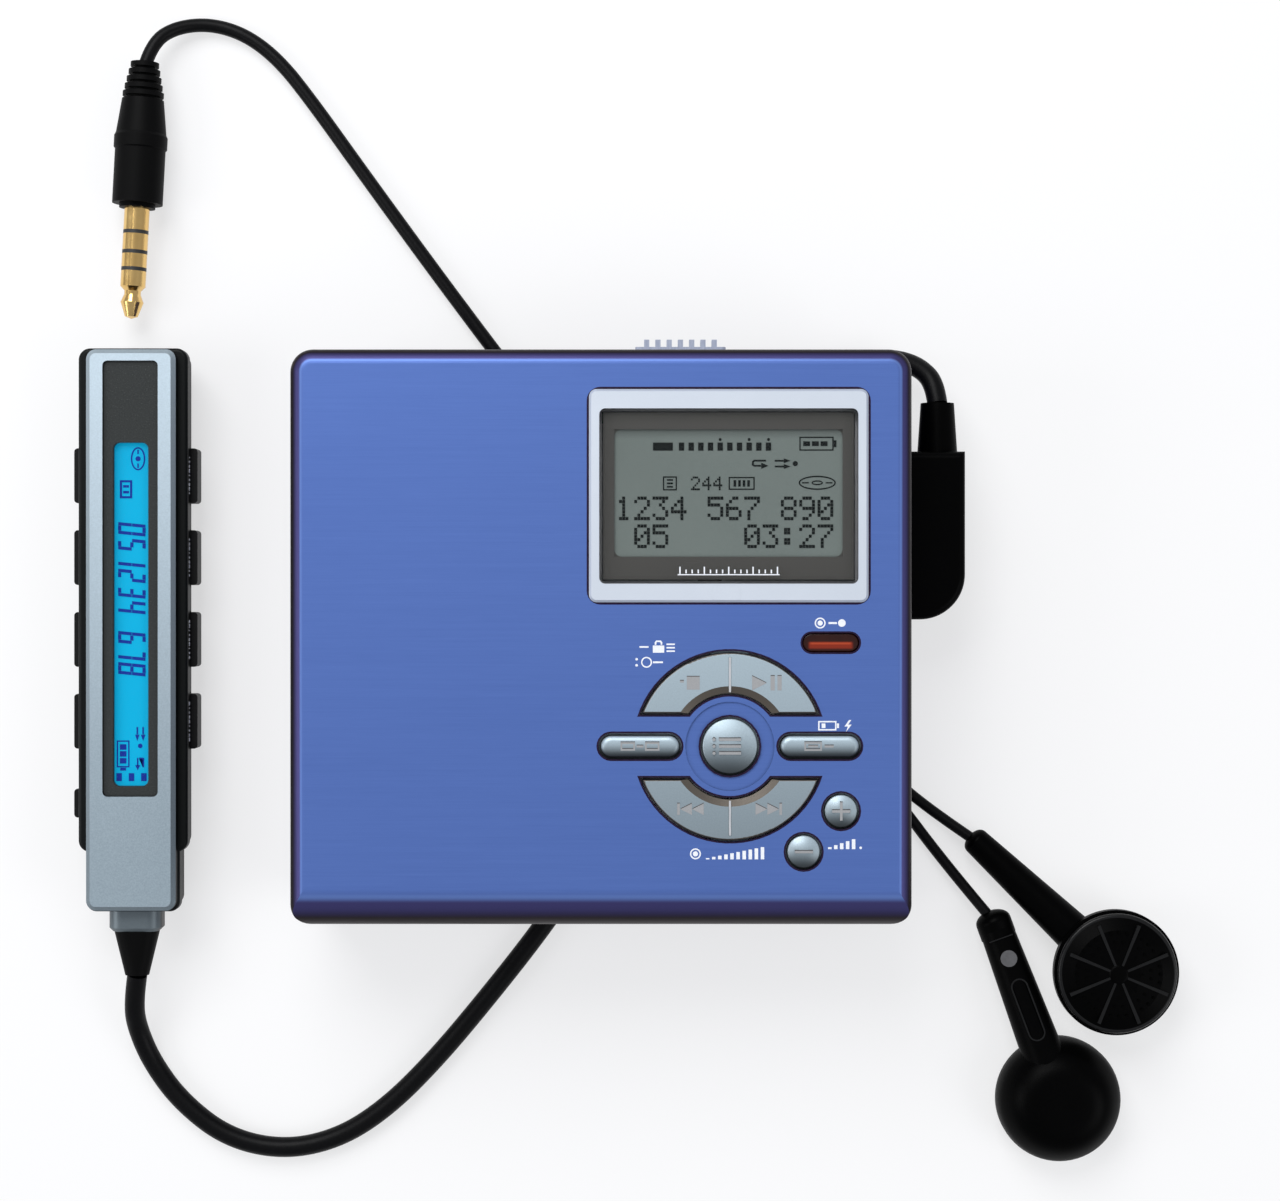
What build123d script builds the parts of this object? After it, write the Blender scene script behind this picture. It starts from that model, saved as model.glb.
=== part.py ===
"""Portable minidisc recorder with its wired remote control and earphones, laid flat.

Millimetres, +Z up.  The recorder lies on the remote's thick cord, its lid on top and the lid's
hinge at the front (-Y).  The origin is on the table, at the middle of the recorder and remote.
"""
import os
from math import cos, pi, radians, sin, sqrt, tan

from build123d import *

os.makedirs("parts", exist_ok=True)

# ---- the recorder's body -------------------------------------------------------------------
width = 82.0                # X, side to side
depth = 76.2                # Y, front to back
height = 24.0               # underside to the lid's face
corner_radius = 3.0         # rounding of the body's upright corners
base_rounding = 2.0         # rounding round the underside, front and sides
back_rounding = 4.0         # rounding of the underside's back edge, over the cords
wall = 1.2                  # moulded lower case
lid_skin = 0.8              # pressed metal lid
edge_roll = 2.0             # rolled edge of the lid at the back and sides
barrel_radius = 5.1         # hinge barrel along the front edge
case_height = 15.1          # lower case, underside to its rim
parting_gap = 0.2           # between the rim and the closed lid

# ---- named clearances ----------------------------------------------------------------------
seat_gap = 0.05             # between pieces that sit together
key_gap = 0.25              # round every key
slip_gap = 0.2              # beside pieces that slide or swing past
pin_clearance = 0.04        # radial, hinge pins and shafts
relief_gap = 0.25           # round the turning barrel

# ---- the disc and its drive ----------------------------------------------------------------
disc_width = 72.0           # minidisc cartridge
disc_depth = 68.0
disc_thick = 5.0
holder_sheet = 0.4
holder_lip = 4.0            # turned-in floor of the disc holder
bay_front = -32.0           # front stop of the disc
travel = 15.0               # of the optical pickup

# ---- display and keys on the lid -----------------------------------------------------------
frame_x, frame_y = 16.8, 18.72      # middle of the display frame
frame_width, frame_depth = 36.7, 28.0
window_width, window_depth = 34.0, 23.0
display_width, display_depth = 30.05, 16.76
display_y = 19.12
menu_x, menu_y = 16.95, -14.18      # middle of the key cluster
menu_radius = 3.65
dish_radius = 5.85
crescent_outer = 12.3
crescent_inner = 7.0
crescent_flat = 4.35                # from the cluster's middle to each crescent's straight side
pill_length, pill_width = 10.5, 2.94
pill_offset = 11.8                  # of the side pills from the cluster's middle
volume_radius = 2.17
volume_up = (31.54, -22.70)
volume_down = (26.64, -28.03)
record_x, record_y = 30.2, -0.58
record_length, record_width = 7.53, 2.55
key_proud = 0.45                    # of the key tops above the lid
key_travel = 0.4
key_flange = 0.45                   # hidden rim that keeps a key in the lid
key_dome = 0.55                     # fall of a round key's top from its middle to its edge
crescent_bevel, bevel_depth = 0.9, 0.3   # round the inner edge of the crescents

# ---- open slider, battery door and sockets -------------------------------------------------
slider_x = 10.65                    # middle of the open slider on the back wall
slider_length, slider_height = 12.3, 3.0
slider_proud = 1.3
rib_count, rib_pitch, rib_proud = 7, 1.53, 1.0
slider_travel = 3.6
door_y0, door_y1 = -32.0, -14.0     # battery door, in the right wall
door_pad = 0.3                      # proud thumb pad on the door
battery_length, battery_width, battery_thick = 67.0, 17.0, 6.1
jack_x, power_x = -29.5, -19.0      # sockets in the back wall
jack_bore, power_bore = 1.8, 1.9
socket_z = 5.4                      # of the socket axes above the underside
remote_socket_y = 19.2

# ---- remote control ------------------------------------------------------------------------
remote_dx, remote_dy = -64.75, 0.91     # middle of the remote from the middle of the recorder
remote_length = 77.7
remote_width = 15.1
remote_wing_end = 8.2               # the side wings stop this far short of the cord end
remote_plate_width = 12.9
remote_bottom, remote_wing_top, remote_top = 2.6, 9.5, 11.5
remote_shell = 1.1
remote_key_length, remote_key_height, remote_key_proud = 7.6, 3.2, 1.0
remote_key_pitch = 11.35
remote_first_key = 21.35            # from the remote's middle to the middle of its end key
clip_thick = 1.2

# ---- cords ---------------------------------------------------------------------------------
remote_cord_diameter = 2.8
phone_cord_diameter = 1.9
branch_diameter = 1.5
earbud_diameter = 17.4

# ---- places that follow from the sizes above -----------------------------------------------
underside = remote_cord_diameter + 0.1
lid_top = underside + height
rim = underside + case_height
lid_edge = rim + parting_gap
hinge_y = barrel_radius - depth / 2
hinge_z = lid_top - barrel_radius
skin_under = lid_top - lid_skin
floor_top = underside + wall
inner_half = width / 2 - wall
back_inner = depth / 2 - wall
lid_inner_half = width / 2 - lid_skin
remote_half = remote_width / 2
layout_x, layout_y = 5.15, 4.96     # where the cords' places are measured from, from the recorder's middle
player_x = -((width / 2 + door_pad) + (remote_dx - remote_half - remote_key_proud)) / 2
player_y = -(slider_proud + rib_proud) / 2
remote_x = player_x + remote_dx
remote_y = player_y + remote_dy
disc_y = bay_front + disc_depth / 2         # the spindle's axis

# Sketch planes: flat (Z up), side (normal +X; u = Y, v = Z) and front (normal -Y; u = X, v = Z).
TABLE = Plane(origin=(player_x, player_y, 0))
SIDE = Plane(origin=(player_x, player_y, 0), x_dir=(0, 1, 0), z_dir=(1, 0, 0))
FRONT = Plane(origin=(player_x, player_y, 0), x_dir=(1, 0, 0), z_dir=(0, -1, 0))
CLUSTER = Plane(origin=(player_x + menu_x, player_y + menu_y, 0))
REMOTE = Plane(origin=(remote_x, remote_y, 0))
REMOTE_SIDE = Plane(origin=(remote_x, remote_y, 0), x_dir=(0, 1, 0), z_dir=(1, 0, 0))


def save(piece, name):
    """Label a finished piece and write it as one STEP file."""
    piece.part.label = name
    export_step(piece.part, f"parts/{name}.step")


def tray(half_width, half_depth, bottom, top, corner, low_edge, back_edge):
    """A block with rounded corners and rounded lower edges, the outside or the inside of the case."""
    with BuildPart() as block:
        with BuildSketch(TABLE.offset(bottom)):
            RectangleRounded(2 * half_width, 2 * half_depth, corner)
        extrude(amount=top - bottom)
        with BuildSketch(SIDE):
            with BuildLine():
                Polyline((-half_depth, top), (-half_depth, bottom + low_edge))
                RadiusArc((-half_depth, bottom + low_edge), (-half_depth + low_edge, bottom), -low_edge)
                Polyline((-half_depth + low_edge, bottom), (half_depth - back_edge, bottom))
                RadiusArc((half_depth - back_edge, bottom), (half_depth, bottom + back_edge), -back_edge)
                Polyline((half_depth, bottom + back_edge), (half_depth, top), (-half_depth, top))
            make_face()
        extrude(amount=half_width + 1, both=True, mode=Mode.INTERSECT)
        with BuildSketch(FRONT):
            with BuildLine():
                Polyline((-half_width, top), (-half_width, bottom + low_edge))
                RadiusArc((-half_width, bottom + low_edge), (-half_width + low_edge, bottom), -low_edge)
                Polyline((-half_width + low_edge, bottom), (half_width - low_edge, bottom))
                RadiusArc((half_width - low_edge, bottom), (half_width, bottom + low_edge), -low_edge)
                Polyline((half_width, bottom + low_edge), (half_width, top), (-half_width, top))
            make_face()
        extrude(amount=half_depth + 1, both=True, mode=Mode.INTERSECT)
    return block.part


def on_barrel(radius, angle):
    """A point on a circle about the hinge axis, in the side plane."""
    return (hinge_y + radius * cos(radians(angle)), hinge_z + radius * sin(radians(angle)))


def crescent(plane, side, grow=0.0):
    """A crescent key's outline about the cluster's middle: side +1 behind the menu button, -1 in front."""
    flat = crescent_flat - grow
    outer = crescent_outer + grow
    inner = crescent_inner - grow
    outer_x = sqrt(outer ** 2 - flat ** 2)
    inner_x = sqrt(inner ** 2 - flat ** 2)
    with BuildSketch(plane) as outline:
        with BuildLine():
            ThreePointArc((-outer_x, side * flat), (0, side * outer), (outer_x, side * flat))
            Line((outer_x, side * flat), (inner_x, side * flat))
            ThreePointArc((inner_x, side * flat), (0, side * inner), (-inner_x, side * flat))
            Line((-inner_x, side * flat), (-outer_x, side * flat))
        make_face()
    return outline.sketch


# ============================================================================================
# The lid
# ============================================================================================
lid_back = depth / 2 - lid_skin
tail_angle = 231            # where the lid's rolled front ends, round the barrel

with BuildPart() as lid_panel:
    # outer form: rounded block with rolled top edges, cut to the profile of lid and barrel
    with BuildSketch(TABLE.offset(hinge_z - barrel_radius)):
        RectangleRounded(width, depth, corner_radius)
    extrude(amount=2 * barrel_radius)
    fillet(lid_panel.faces().sort_by(Axis.Z)[-1].edges(), edge_roll)
    with BuildSketch(SIDE):
        with BuildLine():
            Polyline((hinge_y, hinge_z), (hinge_y, lid_edge), (depth / 2 + 1, lid_edge),
                     (depth / 2 + 1, lid_top), (hinge_y, lid_top), (hinge_y, hinge_z))
        make_face()
        with Locations((hinge_y, hinge_z)):
            Circle(barrel_radius)
    extrude(amount=width / 2 + 1, both=True, mode=Mode.INTERSECT)
    # the shell's inside, open below
    with BuildSketch(SIDE):
        with BuildLine():
            Polyline((lid_back, underside), (lid_back, skin_under - edge_roll / 2),
                     (lid_back - edge_roll / 2, skin_under), (hinge_y, skin_under), (hinge_y, underside),
                     (lid_back, underside))
        make_face()
    extrude(amount=lid_inner_half, both=True, mode=Mode.SUBTRACT)
    with BuildSketch(SIDE):
        with Locations((hinge_y, hinge_z)):
            Circle(barrel_radius - lid_skin)
    extrude(amount=lid_inner_half, both=True, mode=Mode.SUBTRACT)
    # openings for the display frame and the keys
    with BuildSketch(TABLE.offset(skin_under - seat_gap)):
        with Locations((frame_x, frame_y)):
            RectangleRounded(frame_width + 2 * seat_gap, frame_depth + 2 * seat_gap, 1.1)
        with Locations((menu_x, menu_y)):
            Circle(menu_radius + key_gap)
            with Locations((-pill_offset, 0), (pill_offset, 0)):
                SlotOverall(pill_length + 2 * key_gap, pill_width + 2 * key_gap)
        with Locations(volume_up, volume_down):
            Circle(volume_radius + key_gap)
        with Locations((record_x, record_y)):
            SlotOverall(record_length, record_width)
    extrude(amount=lid_skin + 1, mode=Mode.SUBTRACT)
    for side in (1, -1):
        extrude(crescent(CLUSTER.offset(skin_under - seat_gap), side, key_gap), amount=lid_skin + 1,
                mode=Mode.SUBTRACT)
    # shallow dish round the menu button
    with BuildSketch(TABLE.offset(lid_top - 0.25)):
        with Locations((menu_x, menu_y)):
            Circle(dish_radius)
    extrude(amount=1, mode=Mode.SUBTRACT)
    # the front roll ends at its tail
    with BuildSketch(SIDE):
        with BuildLine():
            Polyline((hinge_y + 1, hinge_z - 2), on_barrel(barrel_radius - 2 * lid_skin, tail_angle),
                     on_barrel(2 * barrel_radius, tail_angle), (hinge_y + 1, underside),
                     (hinge_y + 1, hinge_z - 2))
        make_face()
    extrude(amount=lid_inner_half, both=True, mode=Mode.SUBTRACT)
save(lid_panel, "lid_panel")

# ---- lid frame: the plate under the panel, with rails and hinge cheeks ----------------------
plate_top = skin_under - 1.2
plate_thick = 0.8
cheek_inner = width / 2 - 1.8           # inner face of the lid's hinge cheeks
cheek_outer = lid_inner_half - seat_gap
cheek_radius = 3.5
pin_radius = 1.0
ear_inner, ear_outer = cheek_inner - 1.9, cheek_inner - slip_gap
ear_radius = 2.2
rail_bottom = lid_edge + 0.2
module_width, module_depth = 33.0, 22.0     # display module
stem_radius = 1.1
stem_x, stem_y = 6.6, 7.0                    # stems of the crescent keys from the cluster's middle
hook_x = 38.4                               # the lid's hook, behind the right of the disc holder
hook_thick = 0.8
hook_barb_z = rim - 4.0
hook_y = back_inner - 0.5
rail_back = lid_back - seat_gap
rail_front = hinge_y + 2.5
rib_x = frame_x - frame_width / 2 - 1.4           # rib beside the display and keys

with BuildPart() as lid_frame:
    with BuildSketch(TABLE.offset(plate_top - plate_thick)):
        with Locations((0, (rail_front + rail_back) / 2)):
            RectangleRounded(2 * cheek_outer, rail_back - rail_front, corner_radius - lid_skin)
        with Locations((frame_x, frame_y)):
            Rectangle(module_width + 2 * slip_gap, module_depth + 2 * slip_gap, mode=Mode.SUBTRACT)
        with Locations((menu_x, menu_y), volume_up, volume_down, (record_x, record_y)):
            Circle(stem_radius + slip_gap, mode=Mode.SUBTRACT)
        with Locations((menu_x, menu_y)):
            with Locations((-pill_offset, 0), (pill_offset, 0)):
                Circle(stem_radius + slip_gap, mode=Mode.SUBTRACT)
            with Locations((-stem_x, stem_y), (stem_x, stem_y), (-stem_x, -stem_y), (stem_x, -stem_y)):
                Circle(stem_radius + slip_gap, mode=Mode.SUBTRACT)
    extrude(amount=plate_thick)
    # rim and ribs that carry the panel
    with BuildSketch(TABLE.offset(plate_top)):
        for s in (-1, 1):
            with Locations((s * (cheek_outer - 1.8), 3)):
                Rectangle(1.2, rail_back - rail_front - 10)
        with Locations((0, rail_back - 1.8)):
            Rectangle(2 * cheek_outer - 6, 1.2)
        with Locations((rib_x, 14)):
            Rectangle(1.2, 42)
        with Locations((-24, 2)):
            Rectangle(1.2, 52)
        with Locations(((rib_x - 24) / 2, 6)):
            Rectangle(rib_x + 24, 1.2)
    extrude(amount=skin_under - plate_top)
    # side rails down to the lid's edge, with the hinge cheeks at their front
    for s in (-1, 1):
        rail = SIDE.offset(s * (cheek_inner + cheek_outer) / 2)
        with BuildSketch(rail):
            with BuildLine():
                Polyline((hinge_y, plate_top), (hinge_y, rail_bottom), (rail_back - 3, rail_bottom),
                         (rail_back - 3, plate_top), (hinge_y, plate_top))
            make_face()
            with Locations((hinge_y, hinge_z)):
                Circle(cheek_radius)
                Circle(pin_radius + pin_clearance, mode=Mode.SUBTRACT)
        extrude(amount=(cheek_outer - cheek_inner) / 2, both=True)
    # latch hook, hanging behind the disc holder on the right
    with BuildSketch(FRONT.offset(-hook_y)):
        with BuildLine():
            hook_left, hook_right = hook_x - hook_thick / 2, hook_x + hook_thick / 2
            Polyline((hook_right, plate_top - plate_thick), (hook_right, hook_barb_z),
                     (hook_x - hook_thick, hook_barb_z), (hook_x - hook_thick, hook_barb_z + 0.4),
                     (hook_left, hook_barb_z + 0.9), (hook_left, plate_top - plate_thick),
                     (hook_right, plate_top - plate_thick))
        make_face()
    extrude(amount=0.8)
save(lid_frame, "lid_frame")

# ---- display: frame, window and module ------------------------------------------------------
frame_proud = 0.35
with BuildPart() as display_frame:
    with BuildSketch(TABLE.offset(skin_under - 0.2)):
        with Locations((frame_x, frame_y)):
            RectangleRounded(frame_width, frame_depth, 1.0)
    extrude(amount=lid_skin + 0.2 + frame_proud)
    chamfer(display_frame.faces().sort_by(Axis.Z)[-1].edges(), 0.3)
    with BuildSketch(TABLE.offset(skin_under - 0.2)):
        with Locations((frame_x, frame_y - 0.05)):
            RectangleRounded(window_width, window_depth, 0.8)
    extrude(amount=3, mode=Mode.SUBTRACT)
save(display_frame, "display_frame")

window_thick = 0.8
with BuildPart() as display_window:
    with BuildSketch(TABLE.offset(lid_top - window_thick - 0.1)):
        with Locations((frame_x, frame_y - 0.05)):
            RectangleRounded(window_width - 2 * seat_gap, window_depth - 2 * seat_gap, 0.75)
    extrude(amount=window_thick)
save(display_window, "display_window")

module_top = lid_top - window_thick - 0.1 - seat_gap
with BuildPart() as display_module:
    with BuildSketch(TABLE.offset(module_top - 2.3)):
        with Locations((frame_x, frame_y)):
            Rectangle(module_width, module_depth)
    extrude(amount=2.3)
    with BuildSketch(TABLE.offset(module_top - 0.3)):
        with Locations((frame_x, display_y)):
            Rectangle(display_width, display_depth)
    extrude(amount=0.4, mode=Mode.SUBTRACT)
save(display_module, "display_module")

# ---- key board, with one dome switch under every key stem ------------------------------------
board_top = plate_top - plate_thick - 0.9
board_thick = 0.8
dome_height = 0.35
crescent_stems = [(menu_x + sx * stem_x, menu_y + sy * stem_y) for sx in (-1, 1) for sy in (-1, 1)]
pill_stems = [(menu_x - pill_offset, menu_y), (menu_x + pill_offset, menu_y)]
round_stems = [(menu_x, menu_y), volume_up, volume_down, (record_x, record_y)]
with BuildPart() as key_board:
    with BuildSketch(TABLE.offset(board_top - board_thick)):
        with Locations((17.2, -12.6)):
            Rectangle(38.0, 30.0)
    extrude(amount=board_thick)
    with BuildSketch(TABLE.offset(board_top)):
        with Locations(*crescent_stems, *pill_stems, *round_stems):
            Circle(1.6)
    extrude(amount=dome_height)
    # spacers up to the frame's plate
    with BuildSketch(TABLE.offset(board_top)):
        with Locations((0, -24), (0, 0), (34.4, -10), (20, -24.6)):
            Circle(1.3)
    extrude(amount=plate_top - plate_thick - board_top)
save(key_board, "key_board")

# ---- keys: cap above the lid, hidden rim under the panel, stem to its switch -----------------
flange_top = skin_under - 0.35
flange_thick = 0.35
rocker_pivot = 0.3                  # radius of the rib that a crescent key rocks on
rocker_z = plate_top + seat_gap + rocker_pivot
stem_bottom = board_top + dome_height + key_travel + seat_gap
key_top = lid_top + key_proud


def key(name, outline, rim_outline, stems, crown, dome=0.0):
    """Build one key from its outline, its hidden rim and the places of its stems."""
    with BuildPart() as cap:
        with BuildSketch(TABLE.offset(flange_top)):
            outline()
        extrude(amount=key_top - flange_top)
        if dome:
            with Locations(TABLE.offset(key_top - dome).location * Location((*stems[0], 0))):
                Sphere(dome, mode=Mode.INTERSECT)
        fillet(cap.faces().sort_by(Axis.Z)[-1].edges(), crown)
        with BuildSketch(TABLE.offset(flange_top - flange_thick)):
            rim_outline()
        extrude(amount=flange_thick)
        with BuildSketch(TABLE.offset(stem_bottom)):
            with Locations(*stems):
                Circle(stem_radius)
        extrude(amount=flange_top - stem_bottom)
    save(cap, name)


def round_key(name, place, radius, crown):
    """A round key at a place on the lid."""
    def outline():
        with Locations(place):
            Circle(radius)

    def rim_outline():
        with Locations(place):
            Circle(radius + key_gap + key_flange)
    key(name, outline, rim_outline, [place], crown, (radius ** 2 + key_dome ** 2) / (2 * key_dome))


def slot_key(name, place, length, breadth, crown):
    """A pill-shaped key at a place on the lid."""
    def outline():
        with Locations(place):
            SlotOverall(length, breadth)

    def rim_outline():
        with Locations(place):
            SlotOverall(length + 2 * (key_gap + key_flange), breadth + 2 * (key_gap + key_flange))
    key(name, outline, rim_outline, [place], crown)


round_key("menu_button", (menu_x, menu_y), menu_radius, 0.3)
slot_key("group_button", pill_stems[0], pill_length, pill_width, 0.8)
slot_key("display_button", pill_stems[1], pill_length, pill_width, 0.8)
round_key("volume_up_button", volume_up, volume_radius, 0.3)
round_key("volume_down_button", volume_down, volume_radius, 0.3)

with BuildPart() as record_button:
    with BuildSketch(TABLE.offset(flange_top)):
        with Locations((record_x, record_y)):
            SlotOverall(record_length - 2 * seat_gap, record_width - 2 * seat_gap)
    extrude(amount=lid_top - 0.25 - flange_top)
    fillet(record_button.faces().sort_by(Axis.Z)[-1].edges(), 0.25)
    with BuildSketch(TABLE.offset(flange_top - flange_thick)):
        with Locations((record_x, record_y)):
            SlotOverall(record_length + 2 * key_flange, record_width + 2 * key_flange)
    extrude(amount=flange_thick)
    with BuildSketch(TABLE.offset(stem_bottom)):
        with Locations((record_x, record_y)):
            Circle(stem_radius)
    extrude(amount=flange_top - stem_bottom)
save(record_button, "record_button")


def rocker(name, side):
    """A crescent key that rocks left and right about its middle, with two stems."""
    with BuildPart() as cap:
        extrude(crescent(CLUSTER.offset(flange_top), side), amount=key_top - flange_top)
        fillet(cap.faces().sort_by(Axis.Z)[-1].edges(), 0.25)
        # notch between the two halves, and the bevel of the inner edge
        with BuildSketch(CLUSTER.offset(key_top - 0.2)):
            with Locations((0, side * (crescent_outer + crescent_inner) / 2)):
                Rectangle(0.35, crescent_outer - crescent_inner - 1.2)
        extrude(amount=1, mode=Mode.SUBTRACT)
        with Locations(CLUSTER.offset(key_top - bevel_depth).location):
            Cone(crescent_inner, crescent_inner + 2 * crescent_bevel, 2 * bevel_depth,
                 align=(Align.CENTER, Align.CENTER, Align.MIN), mode=Mode.SUBTRACT)
        extrude(crescent(CLUSTER.offset(flange_top - flange_thick), side, -0.3), amount=flange_thick)
        with BuildSketch(CLUSTER.offset(flange_top - flange_thick)):
            with Locations((0, side * crescent_outer)):
                Rectangle(5.0, 1.2)
        extrude(amount=flange_thick)
        # round rib on the frame's plate, which it rocks on
        with BuildSketch(Plane(origin=CLUSTER.origin + Vector(0, side * crescent_inner + 1.0, rocker_z),
                               x_dir=(1, 0, 0), z_dir=(0, 1, 0))):
            Circle(rocker_pivot)
        extrude(amount=side * (crescent_outer - crescent_inner - 2.0))
        with BuildSketch(CLUSTER.offset(stem_bottom)):
            with Locations((-stem_x, side * stem_y), (stem_x, side * stem_y)):
                Circle(stem_radius)
        extrude(amount=flange_top - stem_bottom)
    save(cap, name)


rocker("stop_play_key", 1)
rocker("skip_key", -1)

# ---- disc holder: bent sheet that hangs from the lid ----------------------------------------
holder_half = disc_width / 2 + 0.4                  # inner face of the holder's sides
holder_top = rim + 0.5                              # under side of its top plate
lip_top = holder_top - disc_thick - 0.7
holder_middle = (lip_top - holder_sheet + holder_top) / 2
holder_back = depth / 2 - wall - 1.7
with BuildPart() as disc_holder:
    with BuildSketch(TABLE.offset(holder_top)):
        with Locations((0, (bay_front - holder_sheet + holder_back) / 2)):
            Rectangle(2 * (holder_half + holder_sheet), holder_back - bay_front + holder_sheet)
        # window over the disc for the recording head, and finger notch at the mouth
        with Locations((travel / 2 + 14.5, disc_y)):
            SlotOverall(travel + 11, 8, mode=Mode.SUBTRACT)
        with Locations((0, holder_back)):
            Circle(9, mode=Mode.SUBTRACT)
        # tabs to the side rails
        for s in (-1, 1):
            with Locations((s * (holder_half + 1.3), -18), (s * (holder_half + 1.3), 18)):
                Rectangle(2 * (cheek_inner - holder_half - 1.3), 5)
    extrude(amount=holder_sheet)
    with BuildSketch(FRONT.offset(-bay_front)):
        for s in (-1, 1):
            with Locations((s * (holder_half + holder_sheet / 2), holder_middle)):
                Rectangle(holder_sheet, holder_top - lip_top + holder_sheet)
            with Locations((s * (holder_half + holder_sheet - holder_lip / 2), lip_top - holder_sheet / 2)):
                Rectangle(holder_lip, holder_sheet)
    extrude(amount=-(holder_back - 0.6 - bay_front))
    # front stop, open in its middle
    with BuildSketch(FRONT.offset(-bay_front)):
        with Locations((0, holder_middle)):
            Rectangle(2 * (holder_half + holder_sheet), holder_top - lip_top + holder_sheet)
            Rectangle(30, holder_top - lip_top + 2 * holder_sheet, mode=Mode.SUBTRACT)
    extrude(amount=holder_sheet)
save(disc_holder, "disc_holder")

# ---- recording head: above the disc, carried along with the pickup --------------------------
lens_x = 14.5
head_z = holder_top + holder_sheet + 0.5
with BuildPart() as record_head:
    with BuildSketch(TABLE.offset(head_z)):
        with Locations((lens_x, disc_y)):
            RectangleRounded(7, 6, 1)
        with Locations((lens_x, disc_y + 12)):
            Rectangle(3.2, 22)
        with Locations((lens_x, disc_y + 22)):
            Rectangle(9, 5)
    extrude(amount=0.8)
save(record_head, "record_head")

# ============================================================================================
# The lower case and what it holds
# ============================================================================================
door_z0, door_z1 = floor_top + 0.2, floor_top + battery_thick + 0.6     # doorway of the battery
door_end_gap = 0.15
door_pivot_x, door_pivot_y = width / 2 - wall / 2, door_y1 - wall / 2
door_pin_radius, door_pin_low, door_pin_high = 0.3, 0.3, 0.8
socket_axis = underside + socket_z
socket_width, socket_height = 10.0, 5.0         # remote socket
socket_sleeve = 2.8                             # round sockets, where they pass the back wall
boss_x, boss_front, boss_back = 36.4, -34.3, 31.8
bosses = [(s * boss_x, y) for s in (-1, 1) for y in (boss_front, boss_back)]
boss_radius = 2.0
screw_radius = 0.8
screw_head = 1.5
slot_z = rim - 4.6                              # middle of the open slider
slider_stem = 2.4
case_back = depth / 2

with BuildPart() as lower_case:
    add(tray(width / 2, depth / 2, underside, rim, corner_radius, base_rounding, back_rounding))
    add(tray(inner_half, back_inner, floor_top, rim + 1, corner_radius - wall, base_rounding - wall,
             back_rounding - wall), mode=Mode.SUBTRACT)
    # room for the turning barrel
    with BuildSketch(SIDE):
        with Locations((hinge_y, hinge_z)):
            Circle(barrel_radius + relief_gap)
    extrude(amount=width, both=True, mode=Mode.SUBTRACT)
    # battery doorway and remote socket in the right wall
    with BuildSketch(SIDE.offset(inner_half - 1)):
        with Locations(((door_y0 + door_y1) / 2, (door_z0 + door_z1) / 2)):
            Rectangle(door_y1 - door_y0 + 2 * door_end_gap, door_z1 - door_z0 + 2 * door_end_gap)
        with Locations((remote_socket_y, socket_axis)):
            RectangleRounded(socket_width - 1, socket_height - 0.6, 0.8)
    extrude(amount=5, mode=Mode.SUBTRACT)
    # holes for the pivot pins of the battery door
    with BuildSketch(TABLE.offset(door_z0 - door_pin_low - seat_gap)):
        with Locations((door_pivot_x, door_pivot_y)):
            Circle(door_pin_radius + pin_clearance)
    extrude(amount=door_z1 - door_z0 + door_pin_low + door_pin_high + 2 * seat_gap, mode=Mode.SUBTRACT)
    # line-in and power sockets and the open slider's slot in the back wall
    with BuildSketch(FRONT.offset(-case_back - 1)):
        with Locations((jack_x, socket_axis), (power_x, socket_axis)):
            Circle(socket_sleeve + seat_gap)
        with Locations((slider_x - slider_travel / 2, slot_z)):
            Rectangle(slider_travel + slider_stem + 2 * slip_gap, 1.4)
    extrude(amount=wall + 2, mode=Mode.SUBTRACT)
    # screw holes with countersunk seats
    with BuildSketch(TABLE.offset(underside - 1)):
        with Locations(bosses):
            Circle(screw_radius + seat_gap)
    extrude(amount=wall + 2, mode=Mode.SUBTRACT)
    with BuildSketch(TABLE.offset(underside - 1)):
        with Locations(bosses):
            Circle(screw_head + seat_gap)
    extrude(amount=1.6, mode=Mode.SUBTRACT)
    # shallow rub pad on the back wall, where the slider is worked
    with BuildSketch(FRONT.offset(-case_back)):
        with Locations((0, rim - 2.4)):
            SlotOverall(46, 3.4)
        with Locations((slider_x - slider_travel / 2, slot_z)):
            Rectangle(slider_travel + slider_length + 1, slider_height + 1, mode=Mode.SUBTRACT)
    extrude(amount=-0.3)
save(lower_case, "lower_case")

# ---- mid frame: cast rails, hinge ears, battery wall, shelves and screw bosses ----------------
rail_inner, rail_outer = holder_half + holder_sheet + 0.4, inner_half - slip_gap
rail_low, rail_high = floor_top + 1.5, lip_top + 0.9
bay_wall_y = door_y1 + 0.4
chassis_z = lip_top - 1.8                   # underside of the deck chassis
chassis_thick = 0.6
shelf_top = chassis_z - 0.8
side_mounts = [(-34.0, -9.6), (-34.0, 18.0), (34.0, 26.6)]
front_mount_x, front_mount_y = 30.0, -11.0
mounts = side_mounts + [(front_mount_x, front_mount_y)]
leg_front = 1.0                             # of the hinge ears' legs, behind the hinge axis
ear_back = hinge_y + 3.2

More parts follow.
